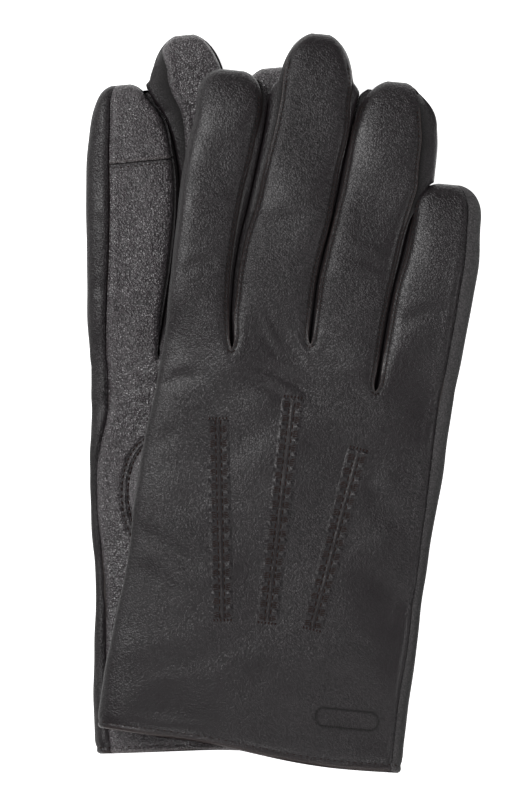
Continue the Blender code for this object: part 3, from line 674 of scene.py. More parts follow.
def rows_of_finger(finger):
    start = TIPS[finger] - TIP_ROUND[finger]
    body = stitch_rows(FINGER_START, start - 0.3)
    if finger == 0:
        seam = TOUCH_SEAM + np.array((-2, -1.2, -0.8, -0.4, 0.5, 0.8, 1.5))
        body = np.sort(np.concatenate((body, seam)))
    parts = np.array((0, .07, .14, .21, .28, .35, .42, .49, .56, .63, .70, .76, .82, .87, .91,
                      .945, .97, .988, .997, 1.0))
    return np.concatenate((body, start + TIP_ROUND[finger] * parts))


SLIT_COLUMNS = np.array((0, 0.25, 0.6, 1.0, 1.3, 1.65, 2.0, 2.5, 3.1, 3.8, 4.6, 5.6, 6.7))
SLIT_COLUMNS = SLIT_COLUMNS / STRIP_WIDTH
EDGE_COLUMNS = np.array((0.0, 0.002, 0.007, 0.016, 0.03, 0.05, 0.075, 0.105, 0.14, 0.18, 0.225))
WRAP_COLUMNS = np.array((1, 0.96, 0.9, 0.82, 0.72, 0.6, 0.48, 0.36, 0.25, 0.16, 0.09, 0.04, 0.01))
SEAM_COLUMNS = np.array((0, 0.01, 0.022, 0.036, 0.055, 0.08, 0.11, 0.15, 0.19, 0.235))


def columns(finger, face, y, step):
    """f of each column at each row of a strip."""
    y = np.asarray(y, float)[:, None]
    spacing = step / STRIP_WIDTH
    slit = SLIT_COLUMNS
    if finger in (1, 2):
        middle = np.arange(slit[-1] + spacing, 1 - slit[-1] - spacing / 2, spacing)
        return np.concatenate((slit, middle, 1 - slit[::-1]))[None] + 0 * y
    seam = curve(RADIAL_SEAM if finger == 0 else ULNAR_SEAM, y)
    if wraps(finger, face):
        first = np.concatenate((-(seam - BUTT_GAP) * WRAP_COLUMNS, EDGE_COLUMNS + 0 * y), 1)
        start = EDGE_COLUMNS[-1]
    else:
        first = seam + BUTT_GAP + SEAM_COLUMNS + 0 * y
        start = first[:, -1:]
    count = int(round((1 - slit[-1] - 0.3) / spacing))
    middle = start + (1 - slit[-1] - start) * (np.arange(1, count) / count)[None]
    across = np.concatenate((first, middle + 0 * y, 1 - slit[::-1] + 0 * y), 1)
    return across if finger == 0 else 1 - across[:, ::-1]


def edge_turn(y):
    """How far a leather's free side turns in at the cuff."""
    t = np.clip(y / EDGE_ROLL, 0.0, 1.0)
    return EDGE_ROLL * (1 - np.sqrt(np.maximum(1 - (1 - t) ** 2, 0.0)))


def panel(glove, face, step=GRID, fine=False, tip_split=None):
    """Leather of the back or the palm, from the cuff to the fingertips."""
    skin = Skin()
    hand_rows = rows_of_hand(fine, PALM_GRID if face == PALM else HAND_GRID)
    previous = None
    for finger in range(4):
        rows = np.concatenate((hand_rows, rows_of_finger(finger)))
        if tip_split and finger == 0:
            rows = rows_to(rows, tip_split)
        spacing = MARK_GRID if fine and finger in (2, 3) else step
        if face == PALM and finger < 2:
            spacing = PALM_GRID
        previous = add_strip(glove, skin, finger, face, rows, spacing, previous)
    return skin


def rows_to(rows, end):
    return np.append(rows[rows < end - 0.3], end)


def rows_from(rows, start):
    return np.insert(rows[rows > start + 0.3], 0, start)


def add_strip(glove, skin, finger, face, rows, step, previous=None):
    """Add one finger's strip, sharing its edge with the strip before it below the crotch."""
    f = columns(finger, face, rows, step)
    y = np.repeat(rows[:, None], f.shape[1], 1)
    outer = glove.surface(finger, face, y, f, edge_turn(y))
    inner = glove.surface(finger, face, y, f, LEATHER)
    x, _, _ = glove.strip(finger, face, y, f)
    shared = np.full(f.shape, -1)
    if previous is not None:
        together = rows <= CROTCHES[finger - 1][1]
        shared[together, 0] = previous[:len(rows), -1][together[:len(previous)]]
    keep = clear_of_hole(x, y) if face == PALM else None
    return skin.add(outer, inner, strip_wear(glove, finger, face, x, y, f), shared, keep)


def strip_wear(glove, finger, face, x, y, f):
    """Worn edges and a painted highlight on the touch tip's lip, above 0; painted shade in seams,
    stitch holes, grooves and along outer edges, below 0; of one strip.
    """
    slits, _ = glove.slits(finger, y, f, x)
    wear = 0.5 * bell(y, 0.0, 1.2)
    for distance in slits:
        if face == BACK:
            stitched = ramp(TIPS[finger] - y, 0.4 * TIP_ROUND[finger], 0.5 * TIP_ROUND[finger])
            shaded_holes = (0.15 + 0.85 * holes_at(y)) * stitched
            # raw edge worn lighter; painted shade in the stitch holes
            wear = (wear + 0.6 * stitched * bell(distance, 0.0, 0.3)
                    - 1.1 * shaded_holes * bell(distance, LAP, 0.4))
        else:
            # painted shade along the groove where the palm's edges turn into their seam
            wear = wear - 0.5 * bell(distance, 0.0, 0.5)
    if face == PALM and glove.back_up:
        # painted shade over the palm leather that wraps round the glove's outer edges
        outer_edge = np.minimum(f if finger == 0 else 1.0, 1 - f if finger == 3 else 1.0)
        wear = wear - 0.6 * (1 - ramp(outer_edge, 0.02, 0.12))
    if finger in (0, 3):
        # painted shade along the glove's outermost edge, darkening its lit rim
        edge = f if finger == 0 else 1 - f
        wear = wear - 0.5 * bell(edge * STRIP_WIDTH, 0.0, 1.5)
    if face == BACK and glove.back_up:
        # painted shade in the groove round the pressed mark
        wear = wear - 0.85 * bell(mark_distance(x, y), 0.1, 0.45)
    if face == PALM and finger == 0:
        # painted highlight on the touch tip's lip, painted shade in its seam and stitch holes
        wear = wear + touch_wear(y - TOUCH_SEAM, x)
    if face == PALM:
        # painted shade along the two stitch rows round the thumb hole
        around = oval(x, y)
        wear = wear - 0.75 * bell(around, 1.1, 0.45) - 0.5 * bell(around, -0.4, 0.5)
    return np.clip(wear, -1.0, 1.0)


def wall_grid(glove, finger, side, rows, outer, inner, under):
    """Side wall of a finger, tucked under the back and the palm by under."""
    y = rows[:, None]
    levels = np.array(WALL_LEVELS)[None] * 0.96
    x_flat = glove.boundary(finger, side, y)
    across = 0.0 if side == LEFT else 1.0
    w = glove.weight(finger, across, y)
    _, _, depth_back = glove.strip(finger, BACK, np.minimum(y, glove.crotch(finger, side)),
                                   across + 0 * y)
    grids = []
    for inset in (outer, inner):
        centre, _ = glove.depths(y)
        rise = np.abs(centre - depth_back) - under - 0.1
        crown = glove.level(finger, y) * levels
        middle, half, stall_depth, stall_rise, tip_part = glove.stall(finger, y, inset)
        x = x_flat - side * inset + 0 * levels
        depth = centre - rise * levels
        swollen = glove.bulge(finger, side, y) * (1 - np.abs(levels) ** WALL_ROUND)
        edge = middle + side * (half * superellipse(crown, STALL_POWER) + swollen)
        x = x + (edge - x) * glove.opening(finger, across, y)
        depth = depth + (stall_depth - crown * stall_rise - depth) * w
        wall = glove.place(x, y - inset * tip_part + 0 * levels, depth)
        ends = []
        for face in (BACK, PALM):
            free = np.clip(0.3 * half * glove.stood_back(finger, side, face, y), 0.0, 0.4)
            for tuck in (*WALL_TUCKS, -free):
                at = across - side * tuck / STRIP_WIDTH
                ends.append(glove.surface(finger, face, y, at + 0 * y, inset + under))
        grids.append(np.concatenate((*ends[:3], wall, *ends[:2:-1]), 1))
    return grids


def fourchette(glove, gap):
    """Forked leather between two fingers."""
    skin = Skin()
    crotch = CROTCHES[gap][1]
    first = None
    for finger, side in ((gap, RIGHT), (gap + 1, LEFT)):
        rows = np.concatenate((rows_of_hand(), rows_of_finger(finger)))
        rows = rows[(rows >= crotch) & (rows <= TIPS[finger] - WALL_END)]
        outer, inner = wall_grid(glove, finger, side, rows, 0.0, THIN_LEATHER, LEATHER + 0.06)
        shared = np.full(outer.shape[:2], -1)
        if first is not None:
            shared[0, 3:-3] = first[0, 3:-3]
        close = 1 - ramp(rows[:, None], crotch + 40, crotch + 75)
        # painted shade: darker deep in the slit near the crotch and where the wall tucks under the
        # panels
        wear = WALL_SHADE * close - np.array(TUCK_SHADES) * (1 + 0 * outer[..., 0])
        first = skin.add(outer, inner, wear, shared)
    return skin


def liner(glove):
    """Fabric lining of the hand and the fingers."""
    skin = Skin()
    hand_rows = np.unique(np.concatenate((np.arange(HEM_DEPTH, 150.0, LINING_GRID),
                                          [crotch for _, crotch in CROTCHES])))
    for finger in range(4):
        start = TIPS[finger] - TIP_ROUND[finger]
        parts = np.array((0, .25, .5, .68, .82, .92, 0.98))
        rows = np.concatenate((hand_rows, np.arange(152.0, start - 1, LINING_GRID),
                               start + TIP_ROUND[finger] * parts))
        f = np.linspace(0.0, 1.0, LINING_COLUMNS)[None] + 0 * rows[:, None]
        y = rows[:, None] + 0 * f
        for face in (BACK, PALM):
            layers = [glove.surface(finger, face, y, f, inset, raised=False)
                      for inset in LINING]
            x, _, _ = glove.strip(finger, face, y, f)
            skin.add(*layers, keep=clear_of_hole(x, y) if face == PALM else None)
        for side in (LEFT, RIGHT):
            if (finger, side) not in ((0, LEFT), (3, RIGHT)):
                above = rows[rows >= glove.crotch(finger, side)]
                above = above[above < TIPS[finger] - WALL_END]
                skin.add(*wall_grid(glove, finger, side, above, *LINING, 0.0))
    return skin


def cuff_hem(glove):
    """Leather turned in at the cuff."""
    skin = Skin()
    rows = np.array((0, 0.15, 0.4, 0.85, 1.5, 2.4, 4, 6, 8, 10, 12, 14, HEM_DEPTH))
    for face in (BACK, PALM):
        for finger in range(4):
            f = np.linspace(0, 1, 25)[None] + 0 * rows[:, None]
            if finger == 0:
                f = np.concatenate((EDGE_COLUMNS[:-1] + 0 * rows[:, None], 0.225 + 0.775 * f), 1)
            if finger == 3:
                f = np.concatenate((0.775 * f, 1 - EDGE_COLUMNS[:-1][::-1] + 0 * rows[:, None]), 1)
            y = rows[:, None] + 0 * f
            outer = glove.surface(finger, face, y, f, HEM[0], raised=False)
            inner = glove.surface(finger, face, y, f, HEM[1] - edge_turn(y), raised=False)
            skin.add(outer, inner)
    return skin


def thumb_spot(glove, along, across, depth):
    """Point of the folded thumb; depth is measured from its own middle."""
    s, c = math.sin(THUMB_TURN), math.cos(THUMB_TURN)
    x = THUMB_HOLE[0] + along * s + across * c
    y = THUMB_HOLE[1] + along * c - across * s
    centre, rise = glove.depths(np.asarray(THUMB_HOLE[1]))
    return glove.place(x, y, centre + rise + THUMB_GAP + THUMB_HALF_DEPTH + depth)


def thumb(glove, insets, sides):
    """Flattened pouch, open where it is sewn to the thumb hole."""
    skin = Skin()
    base = -THUMB_BASE * np.cos(np.linspace(0, 0.5, 11)[:-1] * math.pi)
    start = THUMB_TIP - THUMB_TIP_ROUND
    body = np.arange(0.0, start, 1.2)
    tip = start + THUMB_TIP_ROUND * np.array((0, .1, .2, .3, .4, .5, .6, .7, .78, .85, .9, .94,
                                              .97, .99, 1.0))
    along = np.concatenate((base, body, tip))[:, None]
    turn = (np.linspace(0, 2 * math.pi, sides, endpoint=False))[None]
    layers = []
    for inset in insets:
        low = np.clip(-along / THUMB_BASE, 0, 1)
        high = np.clip((along - THUMB_TIP + THUMB_TIP_ROUND) / THUMB_TIP_ROUND, 0, 1)
        wide = superellipse(0.995 * low, 2.2) * np.maximum(1 - 0.93 * high ** 2.5, 0) ** 0.4
        thin = superellipse(0.999 * low, 2.6) * superellipse(0.999 * high, 2.6)
        half = (curve(THUMB_WIDTHS, along) - inset) * wide
        rise = (THUMB_HALF_DEPTH - inset) * thin
        c, s = np.cos(turn), np.sin(turn)
        u = np.sign(c) * np.abs(c) ** 0.8 * half
        v = np.sign(s) * np.abs(s) ** 0.8 * rise
        if inset == 0:
            wave = 0.16 * np.sin(along / 3.1 + 2 * c) * np.sin(along / 7.0)
            v = v - np.sign(s) * (0.2 + wave) * np.abs(s) * thin
            u = u - np.sign(c) * 0.3 * bell(s, 0, 0.12) * thin
        shift = along + inset * (low - high)
        layers.append(thumb_spot(glove, shift + 0 * u, u, v))
    layers = [np.concatenate((layer, layer[:, :1]), 1) for layer in layers]
    reach = np.hypot(along, curve(THUMB_WIDTHS, along) * np.cos(turn))
    below = (reach < THUMB_MOUTH) & (np.sin(turn) < 0)
    below = np.concatenate((below, below[:, :1]), 1)
    skin.add_ring(*layers, keep=~(below[:-1, :-1] & below[1:, 1:]))
    return skin


def gusset(glove):
    """Ring of thumb leather sewn into the hole of the palm."""
    turn = np.linspace(0, 2 * math.pi, 121)[None]
    part = np.array((0, 0.04, 0.1, 0.18, 0.28, 0.4, 0.55, 0.7, 0.85, 1.0))[:, None]
    u = np.cos(turn) * ((THUMB_SEAM[0] - 0.1) * (1 - part) + (THUMB_MOUTH - 0.8) * part)
    v = np.sin(turn) * ((THUMB_SEAM[1] - 0.1) * (1 - part) + (THUMB_MOUTH - 0.8) * part)
    x, y = THUMB_HOLE[0] + u, THUMB_HOLE[1] + v
    _, depth = glove.hand(x, y, PALM)
    height = waves(PALM, x, y) + 0.12 * np.sin(20 * turn) * bell(part, 0.3, 0.15)
    height = height + 0.25 * bell(part, 0.2, 0.1) - 0.2 * bell(part, 0.1, 0.05)
    skin = Skin()
    # painted shade in the groove along the gusset's seam
    skin.add_ring(glove.place(x, y, depth + height),
                  glove.place(x, y, depth + height - THIN_LEATHER), -0.7 * bell(part, 0.1, 0.1))
    return skin


# ---------------------------------------------------------------- stitches

def capsules(name, centres, along, up, length, width, material):
    """One mesh of short rounded stitches."""
    rings = np.array((-1.0, -0.86, -0.5, 0.0, 0.5, 0.86, 1.0))
    thick = np.array((0.12, 0.62, 0.95, 1.0, 0.95, 0.62, 0.12))
    sides = 6
    angle = np.arange(sides) * 2 * math.pi / sides
    along = along / np.linalg.norm(along, axis=1, keepdims=True)
    side = np.cross(along, up)
    side = side / np.linalg.norm(side, axis=1, keepdims=True)
    up = np.cross(side, along)
    length, width = (np.broadcast_to(np.asarray(v, float), len(centres)) for v in (length, width))
    points = (centres[:, None, None]
              + (rings[None, :, None, None] * length[:, None, None, None] / 2
                 * along[:, None, None])
              + thick[None, :, None, None] * width[:, None, None, None] / 2
              * (np.cos(angle)[None, None, :, None] * side[:, None, None]
                 + np.sin(angle)[None, None, :, None] * up[:, None, None] * 0.8))
    count = len(rings) * sides
    index = np.arange(count).reshape(-1, sides)
    faces = grid_quads(np.concatenate((index, index[:, :1]), 1)).tolist()
    for ring in (0, len(rings) - 1):
        for quad in ((0, 1, 2, 3), (0, 3, 4, 5)):
            faces.append([ring * sides + i for i in (quad if ring else quad[::-1])])
    faces = np.array(faces)[None] + np.arange(len(centres))[:, None, None] * count
    return mesh_object(name, points.reshape(-1, 3), faces.reshape(-1, 4), material)


class Stitches:
    """Stitches collected from several seams."""

    def __init__(self):
        self.parts = []

    def along(self, points, up, length=STITCH[0], width=STITCH[1], sink=0.02):
        """Stitches centred on points, in line with their neighbours."""
        self.across(points, np.gradient(points, axis=0), up, length, width, sink)

    def across(self, points, direction, up, length, width, sink=0.02):
        count = len(points)
        self.parts.append((points - up * sink * MM, direction, up,
                           np.full(count, 1.0) * length * MM, np.full(count, width * MM)))

    def build(self, name, material):
        centres, along, up, length, width = (np.concatenate(part) for part in zip(*self.parts))
        return capsules(name, centres, along, up, length, width, material)


def stitch_seam(glove, made, finger, face, y, f):
    """A line of stitches on a strip; y and f are lists of their middles."""
    y, f = np.asarray(y, float)[:, None], np.asarray(f, float)[:, None]
    points = glove.surface(finger, face, y, f)[:, 0]
    made.along(points, glove.normal(finger, face, y, f)[:, 0])


def slit_stitches(glove, made):
    """Stitches along both edges of each slit of the back, and round its foot."""
    for gap, (foot_x, crotch) in enumerate(CROTCHES):
        for finger, side in ((gap, RIGHT), (gap + 1, LEFT)):
            first = math.ceil(crotch / PITCH) + 1
            last = (TIPS[finger] - 0.5 * TIP_ROUND[finger]) / PITCH
            y = np.arange(first, last) * PITCH
            across = 0.0 if side == LEFT else 1.0
            _, width = glove.slits(finger, y, across + 0 * y, 0 * y)
            f = LAP / width if side == LEFT else 1 - LAP / width
            stitch_seam(glove, made, finger, BACK, y, f)
        turn = np.radians((-150, -90, -30))
        x, y = foot_x + LAP * np.cos(turn), crotch + LAP * np.sin(turn)
        points, up = hand_spots(glove, BACK, x, y)
        made.along(points, up)


def hand_spots(glove, face, x, y, lift=0.0):
    """Points on the hand's back or palm, with the direction out of the leather."""
    _, depth = glove.hand(x, y, face)
    height = folds(glove, face, x, y) + lift
    points = glove.place(x, y, depth - face * height)
    up = np.zeros(points.shape)
    up[..., 2] = 1.0 if (face == BACK) == glove.back_up else -1.0
    return points, up


def hem_stitches(glove, made):
    """Stitches that hold the turned-in cuff, all the way round."""
    for face in (BACK, PALM):
        for finger in range(4):
            y = np.full(HEM_STITCHES, HEM_STITCH_ROW)
            f = (np.arange(HEM_STITCHES) + 0.5) / HEM_STITCHES
            if finger == 0:
                f = 0.02 + 0.98 * f
            if finger == 3:
                f = 0.98 * f
            stitch_seam(glove, made, finger, face, y, f)


def thumb_stitches(glove, made):
    """Two rows of stitches round the thumb hole, the inner one on the gusset."""
    for grow, on_gusset in ((1.1, False), (-1.0, True)):
        a, b = THUMB_SEAM[0] + grow, THUMB_SEAM[1] + grow
        turn = np.linspace(0, 2 * math.pi, 61)[:-1]
        x, y = THUMB_HOLE[0] + a * np.cos(turn), THUMB_HOLE[1] + b * np.sin(turn)
        lift = 0.2 + waves(PALM, x, y) - folds(glove, PALM, x, y) if on_gusset else 0.1
        points, up = hand_spots(glove, PALM, x, y, lift)
        step = np.roll(points, -1, 0) - np.roll(points, 1, 0)
        made.across(points, step, up, *THUMB_STITCH)


def touch_stitches(glove, made):
    """Stitches just below the seam of the touch tip."""
    y = np.full(TOUCH_STITCHES, TOUCH_SEAM - TOUCH_STITCH_DROP)
    f = np.linspace(0.32, 0.97, TOUCH_STITCHES)
    stitch_seam(glove, made, 0, PALM, y, f)


def point_strip(glove, start, end):
    """Raised cord and puckered leather of one decorative point, as a thin skin."""
    length = math.dist(start, end)
    along = np.linspace(0, length, int(length / POINT_STEP))[:, None]
    across = np.linspace(-POINT_HALF, POINT_HALF, 29)[None]
    x, y = beside(start, end, along, across)
    off = np.abs(across)
    phase = np.mod(along, BLOCK) / BLOCK
    bump = bell(phase, 0.76, 0.15)
    uneven = 1 + 0.35 * jitter(np.floor(along / BLOCK - 0.26) + 5 * np.sign(across) + start[0])
    height = (0.16 + 0.22 * bell(across, 0, 0.26) - 0.20 * bell(off, 0.85, 0.28)
              + 0.50 * uneven * bump * bell(off, 2.9, 0.9)
              - 0.10 * (1 - bump) * bell(off, 2.0, 0.9))
    fade = 1 - ramp(off, POINT_HALF - 1.5 * uneven, POINT_HALF - 0.2)
    fade = fade * ramp(along, 0, 0.8) * (1 - ramp(along, length - 0.8, length))
    height = height * fade + np.where(fade > 0, 0.02, -0.3) * (1 - fade)
    outer, up = hand_spots(glove, BACK, x, y, height)
    inner, _ = hand_spots(glove, BACK, x, y, -POINT_DEPTH + 0 * height)
    skin = Skin()
    # painted shade in the stitched blocks and along the sewn lines; the cord's colour is lighter
    sewn_shade = 0.5 * (1 - bump) * (1 - ramp(off, 1.8, 3.4)) + bell(off, 0.9, 0.3)
    skin.add(outer, inner, 0.30 * bell(across, 0, 0.22) - 0.5 * np.minimum(sewn_shade, 1.0)
             * (1 - bell(across, 0, 0.35)))
    return skin


def point_stitches(glove, start, end):
    """Threads of one decorative point: two sewn lines, and bars across its flanks."""
    made = Stitches()
    length = math.dist(start, end)

    def spots(along, across, lift):
        return hand_spots(glove, BACK, *beside(start, end, along, across), lift)

    blocks = int((length - 1.5) / BLOCK) + 1
    for side in (LEFT, RIGHT):
        along = np.arange(1.2, length - 0.8, BLOCK / 2)
        points, up = spots(along, side * 0.9 + 0 * along, 0.12)
        made.along(points, up, *POINT_STITCH)
        for part in BLOCK_STITCHES:
            along = (np.arange(blocks) + part) * BLOCK
            along = along[(along > 0.5) & (along < length - 0.5)]
            uneven = jitter(along + 7 * side + 3 * part)
            points, up = spots(along + 0.12 * uneven, side * (2.1 + 0.16 * uneven), 0.14)
            outwards, _ = spots(along + 0.25 * side + 0.3 * uneven, side * 3.3 + 0 * along, 0.14)
            made.across(points, outwards - points, up, BAR_STITCH[0] + 0.25 * uneven,
                        BAR_STITCH[1])
    for at in (-0.3, length + 0.3):
        across = np.array(END_SPOTS)
        points, up = spots(at + 0 * across, across, 0.05)
        ahead, _ = spots(at + 1 + 0 * across, across, 0.05)
        made.across(points, ahead - points, up, *END_STITCH)
    return made


# ---------------------------------------------------------------- materials

def node(tree, kind, links=(), **values):
    """New node with its settings; links join its inputs by name."""
    made = tree.nodes.new(kind)
    for key, value in values.items():
        setattr(made, key, value)
    for name, value in dict(links).items():
        socket = made.inputs[name]
        if isinstance(value, bpy.types.NodeSocket):
            tree.links.new(value, socket)
        else:
            socket.default_value = value
    return made


def math_node(tree, operation, a, b):
    return node(tree, "ShaderNodeMath", {0: a, 1: b}, operation=operation).outputs[0]


def vector_node(tree, operation, a, b):
    return node(tree, "ShaderNodeVectorMath", {0: a, 1: b}, operation=operation)


def scaled(tree, vector, factor):
    return node(tree, "ShaderNodeVectorMath", {0: vector, "Scale": factor},
                operation="SCALE").outputs[0]


def remap(tree, value, start, end, low, high, kind="LINEAR"):
    """Value from start to end, turned into low to high."""
    return node(tree, "ShaderNodeMapRange", {"Value": value, 1: start, 2: end, 3: low, 4: high},
                interpolation_type=kind).outputs[0]


def noise(tree, place, scale, detail=2.0):
    return node(tree, "ShaderNodeTexNoise", {"Vector": place, "Scale": scale, "Detail": detail})


def mix_colours(tree, factor, a, b):
    return node(tree, "ShaderNodeMix", {"Factor": factor, "A": a, "B": b},
                data_type="RGBA").outputs["Result"]


def mottled(tree, factor, dark, light):
    return mix_colours(tree, factor, (*dark, 1), (*light, 1))


def add_bump(tree, shader, height, strength, distance):
    bump = node(tree, "ShaderNodeBump", {"Height": height, "Strength": strength,
                                         "Distance": distance})
    tree.links.new(bump.outputs["Normal"], shader.inputs["Normal"])


def leather(name, dark, light, worn, roughness, specular, grain, relief, tilt, patchy, contrast,
            valley_shade):
    """Dyed leather: flat-topped pebbles that each lean a little, parted by fine valleys.

    grain is pebbles per metre, relief and tilt their height and lean. patchy is how much grain
    is left where the leather is rubbed smooth, contrast how much the pebbles differ in tone,
    and the last one the tone of the valleys, a painted shade that darkens them.
    """
    made, tree, shader, place = new_material(name)
    bend = noise(tree, place, 420.0, 1.0).outputs["Color"]
    moved = vector_node(tree, "ADD", place, scaled(tree, bend, 0.0006)).outputs[0]
    cells = node(tree, "ShaderNodeTexVoronoi", {"Vector": moved, "Scale": grain,
                                                "Randomness": 0.95})
    distance, random = cells.outputs["Distance"], cells.outputs["Color"]
    slanted = node(tree, "ShaderNodeMapping", {"Vector": place, "Rotation": (0, 0, 0.7),
                                               "Scale": (1.6, 0.45, 1.0)}).outputs[0]
    lines = noise(tree, slanted, 620.0, 3.0).outputs["Fac"]
    patches = noise(tree, place, 34.0).outputs["Fac"]
    rubbed = remap(tree, patches, 0.38, 0.62, patchy, 1.0)
    top = remap(tree, distance, VALLEY_START, PEBBLE_TOP, 0.0, relief, "SMOOTHSTEP")
    off = vector_node(tree, "SUBTRACT", moved, cells.outputs["Position"]).outputs[0]
    slope = vector_node(tree, "SUBTRACT", random, (0.5, 0.5, 0.5)).outputs[0]
    lean = vector_node(tree, "DOT_PRODUCT", off, slope).outputs["Value"]
    lean = math_node(tree, "MULTIPLY", lean, 2 * tilt / BUMP_DISTANCE)
    height = math_node(tree, "MULTIPLY", math_node(tree, "ADD", top, lean), rubbed)
    height = math_node(tree, "ADD", height, math_node(tree, "MULTIPLY", lines, 0.07))
    add_bump(tree, shader, height, 1.0, BUMP_DISTANCE)

    base = mottled(tree, noise(tree, place, 90.0, 5.0).outputs["Fac"], dark, light)
    pale = node(tree, "ShaderNodeSeparateColor", {"Color": random}).outputs[0]
    spread = math_node(tree, "MULTIPLY", math_node(tree, "SUBTRACT", pale, 0.5), rubbed)
    pebble_tone = math_node(tree, "ADD", 1.0, math_node(tree, "MULTIPLY", spread, contrast))
    # painted shade: the colour darkens into the valleys between pebbles
    valley = remap(tree, distance, VALLEY_START, VALLEY_END, valley_shade, 1.0)
    grained = scaled(tree, base, math_node(tree, "MULTIPLY", valley, pebble_tone))
    # above 0 the worn colour is mixed in, below 0 the near-black painted shade
    wear = node(tree, "ShaderNodeAttribute", attribute_name="wear").outputs["Fac"]
    shade = math_node(tree, "MULTIPLY", wear, -1.0)
    colour = mix_colours(tree, shade, mix_colours(tree, wear, grained, (*worn, 1)), SHADE_COLOUR)
    tree.links.new(colour, shader.inputs["Base Color"])
    rough = remap(tree, patches, 0.3, 0.7, roughness - 0.05, roughness + 0.07)
    groove = math_node(tree, "MULTIPLY", math_node(tree, "SUBTRACT", 1.0, valley), 0.6)
    for factor in (groove, shade):
        rough = node(tree, "ShaderNodeMix", {"Factor": factor, "A": rough,
                                             "B": DULL}).outputs["Result"]
    tree.links.new(rough, shader.inputs["Roughness"])
    shader.inputs["Specular IOR Level"].default_value = specular
    return made


def fabric(name, dark, light):
    """Brushed knit of the lining: fine ribs under a soft nap."""
    made, tree, shader, place = new_material(name)
    ribs = node(tree, "ShaderNodeTexWave", {"Vector": place, "Scale": 260.0, "Distortion": 2.0,
                                            "Detail": 2.0, "Detail Scale": 3.0}).outputs["Fac"]
    nap = noise(tree, place, 1500.0, 4.0).outputs["Fac"]
    add_bump(tree, shader, math_node(tree, "ADD", ribs, nap), 0.6, 0.0003)
    tree.links.new(mottled(tree, nap, dark, light), shader.inputs["Base Color"])
    shader.inputs["Roughness"].default_value = DULL
    shader.inputs["Sheen Weight"].default_value = 0.3
    return made


def thread(name, dark, light):
    """Twisted sewing thread."""
    made, tree, shader, place = new_material(name)
    twist = node(tree, "ShaderNodeTexWave", {"Vector": place, "Scale": 900.0, "Distortion": 1.0},
                 bands_direction="DIAGONAL").outputs["Fac"]
    add_bump(tree, shader, twist, 0.5, 0.0001)
    tone = noise(tree, place, 300.0).outputs["Fac"]
    tree.links.new(mottled(tree, tone, dark, light), shader.inputs["Base Color"])
    shader.inputs["Roughness"].default_value = 0.85
    shader.inputs["Specular IOR Level"].default_value = 0.15
    return made


def new_material(name):
    """New material, its node tree, its shader, and its coordinates in metres."""
    made = bpy.data.materials.new(name)
    made.use_nodes = True
    tree = made.node_tree
    place = node(tree, "ShaderNodeTexCoord").outputs["Object"]
    return made, tree, tree.nodes["Principled BSDF"], place


# ---------------------------------------------------------------- the pair

def fold_line(glove, offset):
    """Point on the right glove's middle line, near the knuckles, in metres."""
    point = glove.place(np.array(0.0), np.array(FOLD_Y + offset), np.array(0.0))
    return tuple(float(value) for value in point)


def attach(glove, piece, nodes=(), body=None):
    """Attach a piece to its body or to the left glove, or fix it in place for the right glove, and
    hide the CAD parts it stands in for.
    """
    if body:
        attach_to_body(piece, body)
    elif glove.back_up:
        fold_line(glove, FOLD_REACH[0])
        fold_line(glove, FOLD_REACH[1])
        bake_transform(piece)
    else:
        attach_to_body(piece, "left_glove")
    if nodes:
        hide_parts(*nodes)


def make_glove(glove, looks):
    """All visible pieces of one glove, each with the look of its slot."""
    halves = ("_hand", "_fingers") if glove.back_up else ("",)
    base_body = "right_hand" if glove.back_up else "left_glove"

    def make(name, skin, slot, nodes=(), body=None):
        piece = skin.build(glove.side + name, looks[slot])
        attach(glove, piece, [glove.side + node for node in nodes], body)

    def both(name):
        return [name + half for half in halves]

    step, fine = (BACK_GRID, True) if glove.back_up else (GRID, False)
    make("_back_leather", panel(glove, BACK, step, fine), "back_leather", both("_back_panel"))
    make("_palm_leather", panel(glove, PALM, tip_split=TOUCH_SEAM - TOUCH_GAP), "palm_leather",
         both("_palm_panel"))
    tip = Skin()
    rows = np.concatenate((rows_of_hand(), rows_of_finger(0)))
    add_strip(glove, tip, 0, PALM, rows_from(rows, TOUCH_SEAM + TOUCH_GAP), GRID)
    make("_touch_patch", tip, "touch_leather", ["_touch_tip"])
    for gap, label in enumerate(("index_middle", "middle_ring", "ring_little")):
        make("_wall_" + label, fourchette(glove, gap), "back_leather", ["_fourchette_" + label])
    make("_liner", liner(glove), "lining_fabric", both("_lining"))
    make("_hem", cuff_hem(glove), "back_leather", ["_cuff_hem"], base_body)

    for label, (start, end) in POINTS.items():
        make("_point_leather_" + label, point_strip(glove, start, end), "back_leather")
        make("_point_threads_" + label, point_stitches(glove, start, end), "stitch_thread",
             ["_point_" + label])
    seams = Stitches()
    for sew in (slit_stitches, hem_stitches, thumb_stitches, touch_stitches):
        sew(glove, seams)
    make("_seam_threads", seams, "stitch_thread")

    thumb_body = glove.side + "_thumb"
    make("_thumb_gusset", gusset(glove), "palm_leather", (), base_body)
    make("_thumb_pouch", thumb(glove, (0.0, THIN_LEATHER), POUCH_SIDES), "palm_leather",
         ["_thumb"], thumb_body)
    make("_thumb_liner", thumb(glove, THUMB_LINING, POUCH_LINING_SIDES), "lining_fabric",
         ["_thumb_lining"], thumb_body)


def area_light(name, place, size, power):
    light = bpy.data.lights.new(name, "AREA")
    light.shape = "RECTANGLE"
    light.size, light.size_y = size
    light.energy = power
    made = bpy.data.objects.new(name, light)
    bpy.context.collection.objects.link(made)
    made.location = place
    direction = np.subtract(LIGHT_AIM, place)
    flat = math.hypot(direction[0], direction[1])
    made.rotation_euler = (math.atan2(flat, -direction[2]), 0,
                           math.atan2(direction[1], direction[0]) - math.pi / 2)


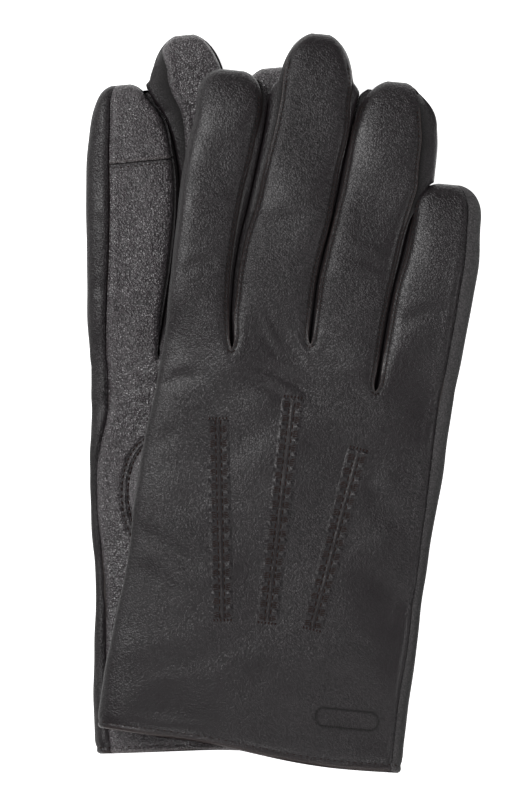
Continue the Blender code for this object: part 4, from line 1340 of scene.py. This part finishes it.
def make_studio():
    """Pale floor, soft lights and a long lens straight above the pair."""
    camera = bpy.data.cameras.new("camera")
    camera.lens = LENS
    camera.sensor_width = SENSOR
    camera.clip_end = 10.0
    made = bpy.data.objects.new("camera", camera)
    bpy.context.collection.objects.link(made)
    made.location = (CAMERA_X, 0.0, CAMERA_Z + VIEW_HEIGHT * LENS / SENSOR)
    bpy.context.scene.camera = made

    mesh = bpy.data.meshes.new("floor")
    corners = ((-1, -1), (1, -1), (1, 1), (-1, 1))
    mesh.from_pydata([(FLOOR_HALF * x, FLOOR_HALF * y, 0) for x, y in corners], [],
                     [(0, 1, 2, 3)])
    floor_material, _, shader, _ = new_material("floor_white")
    shader.inputs["Base Color"].default_value = (0.9, 0.9, 0.9, 1)
    shader.inputs["Roughness"].default_value = 0.8
    shader.inputs["Emission Color"].default_value = (1, 1, 1, 1)
    shader.inputs["Emission Strength"].default_value = 1.0
    mesh.materials.append(floor_material)
    floor = bpy.data.objects.new("floor", mesh)
    floor.location.z = FLOOR_Z
    bpy.context.collection.objects.link(floor)

    for light in LIGHTS:
        area_light(*light)
    world = bpy.data.worlds.new("studio")
    bpy.context.scene.world = world
    world.use_nodes = True
    background = world.node_tree.nodes["Background"]
    background.inputs["Color"].default_value = (1, 1, 1, 1)
    background.inputs["Strength"].default_value = WORLD_STRENGTH
    bpy.context.scene.view_settings.view_transform = "Standard"


def main():
    make_studio()
    looks = {"back_leather": leather("back_leather_look", **BACK_LEATHER),
             "palm_leather": leather("palm_leather_look", **PALM_LEATHER),
             "touch_leather": leather("touch_leather_look", **TOUCH_LEATHER),
             "lining_fabric": fabric("lining_look", *LINING_COLOURS),
             "stitch_thread": thread("thread_look", *THREAD_COLOURS)}
    left = Glove("left", (LEFT_INDEX, LEFT_MIDDLE, RING, LITTLE), False, 1.0, 0.0,
                 {(1, LEFT): LEFT_MIDDLE_BACK})
    right = Glove("right", (INDEX, MIDDLE, RING, LITTLE), True, 0.3, 0.3,
                  {(1, LEFT): RIGHT_MIDDLE_BACK, (2, RIGHT): RIGHT_RING_BACK})
    for glove in (left, right):
        make_glove(glove, looks)


main()
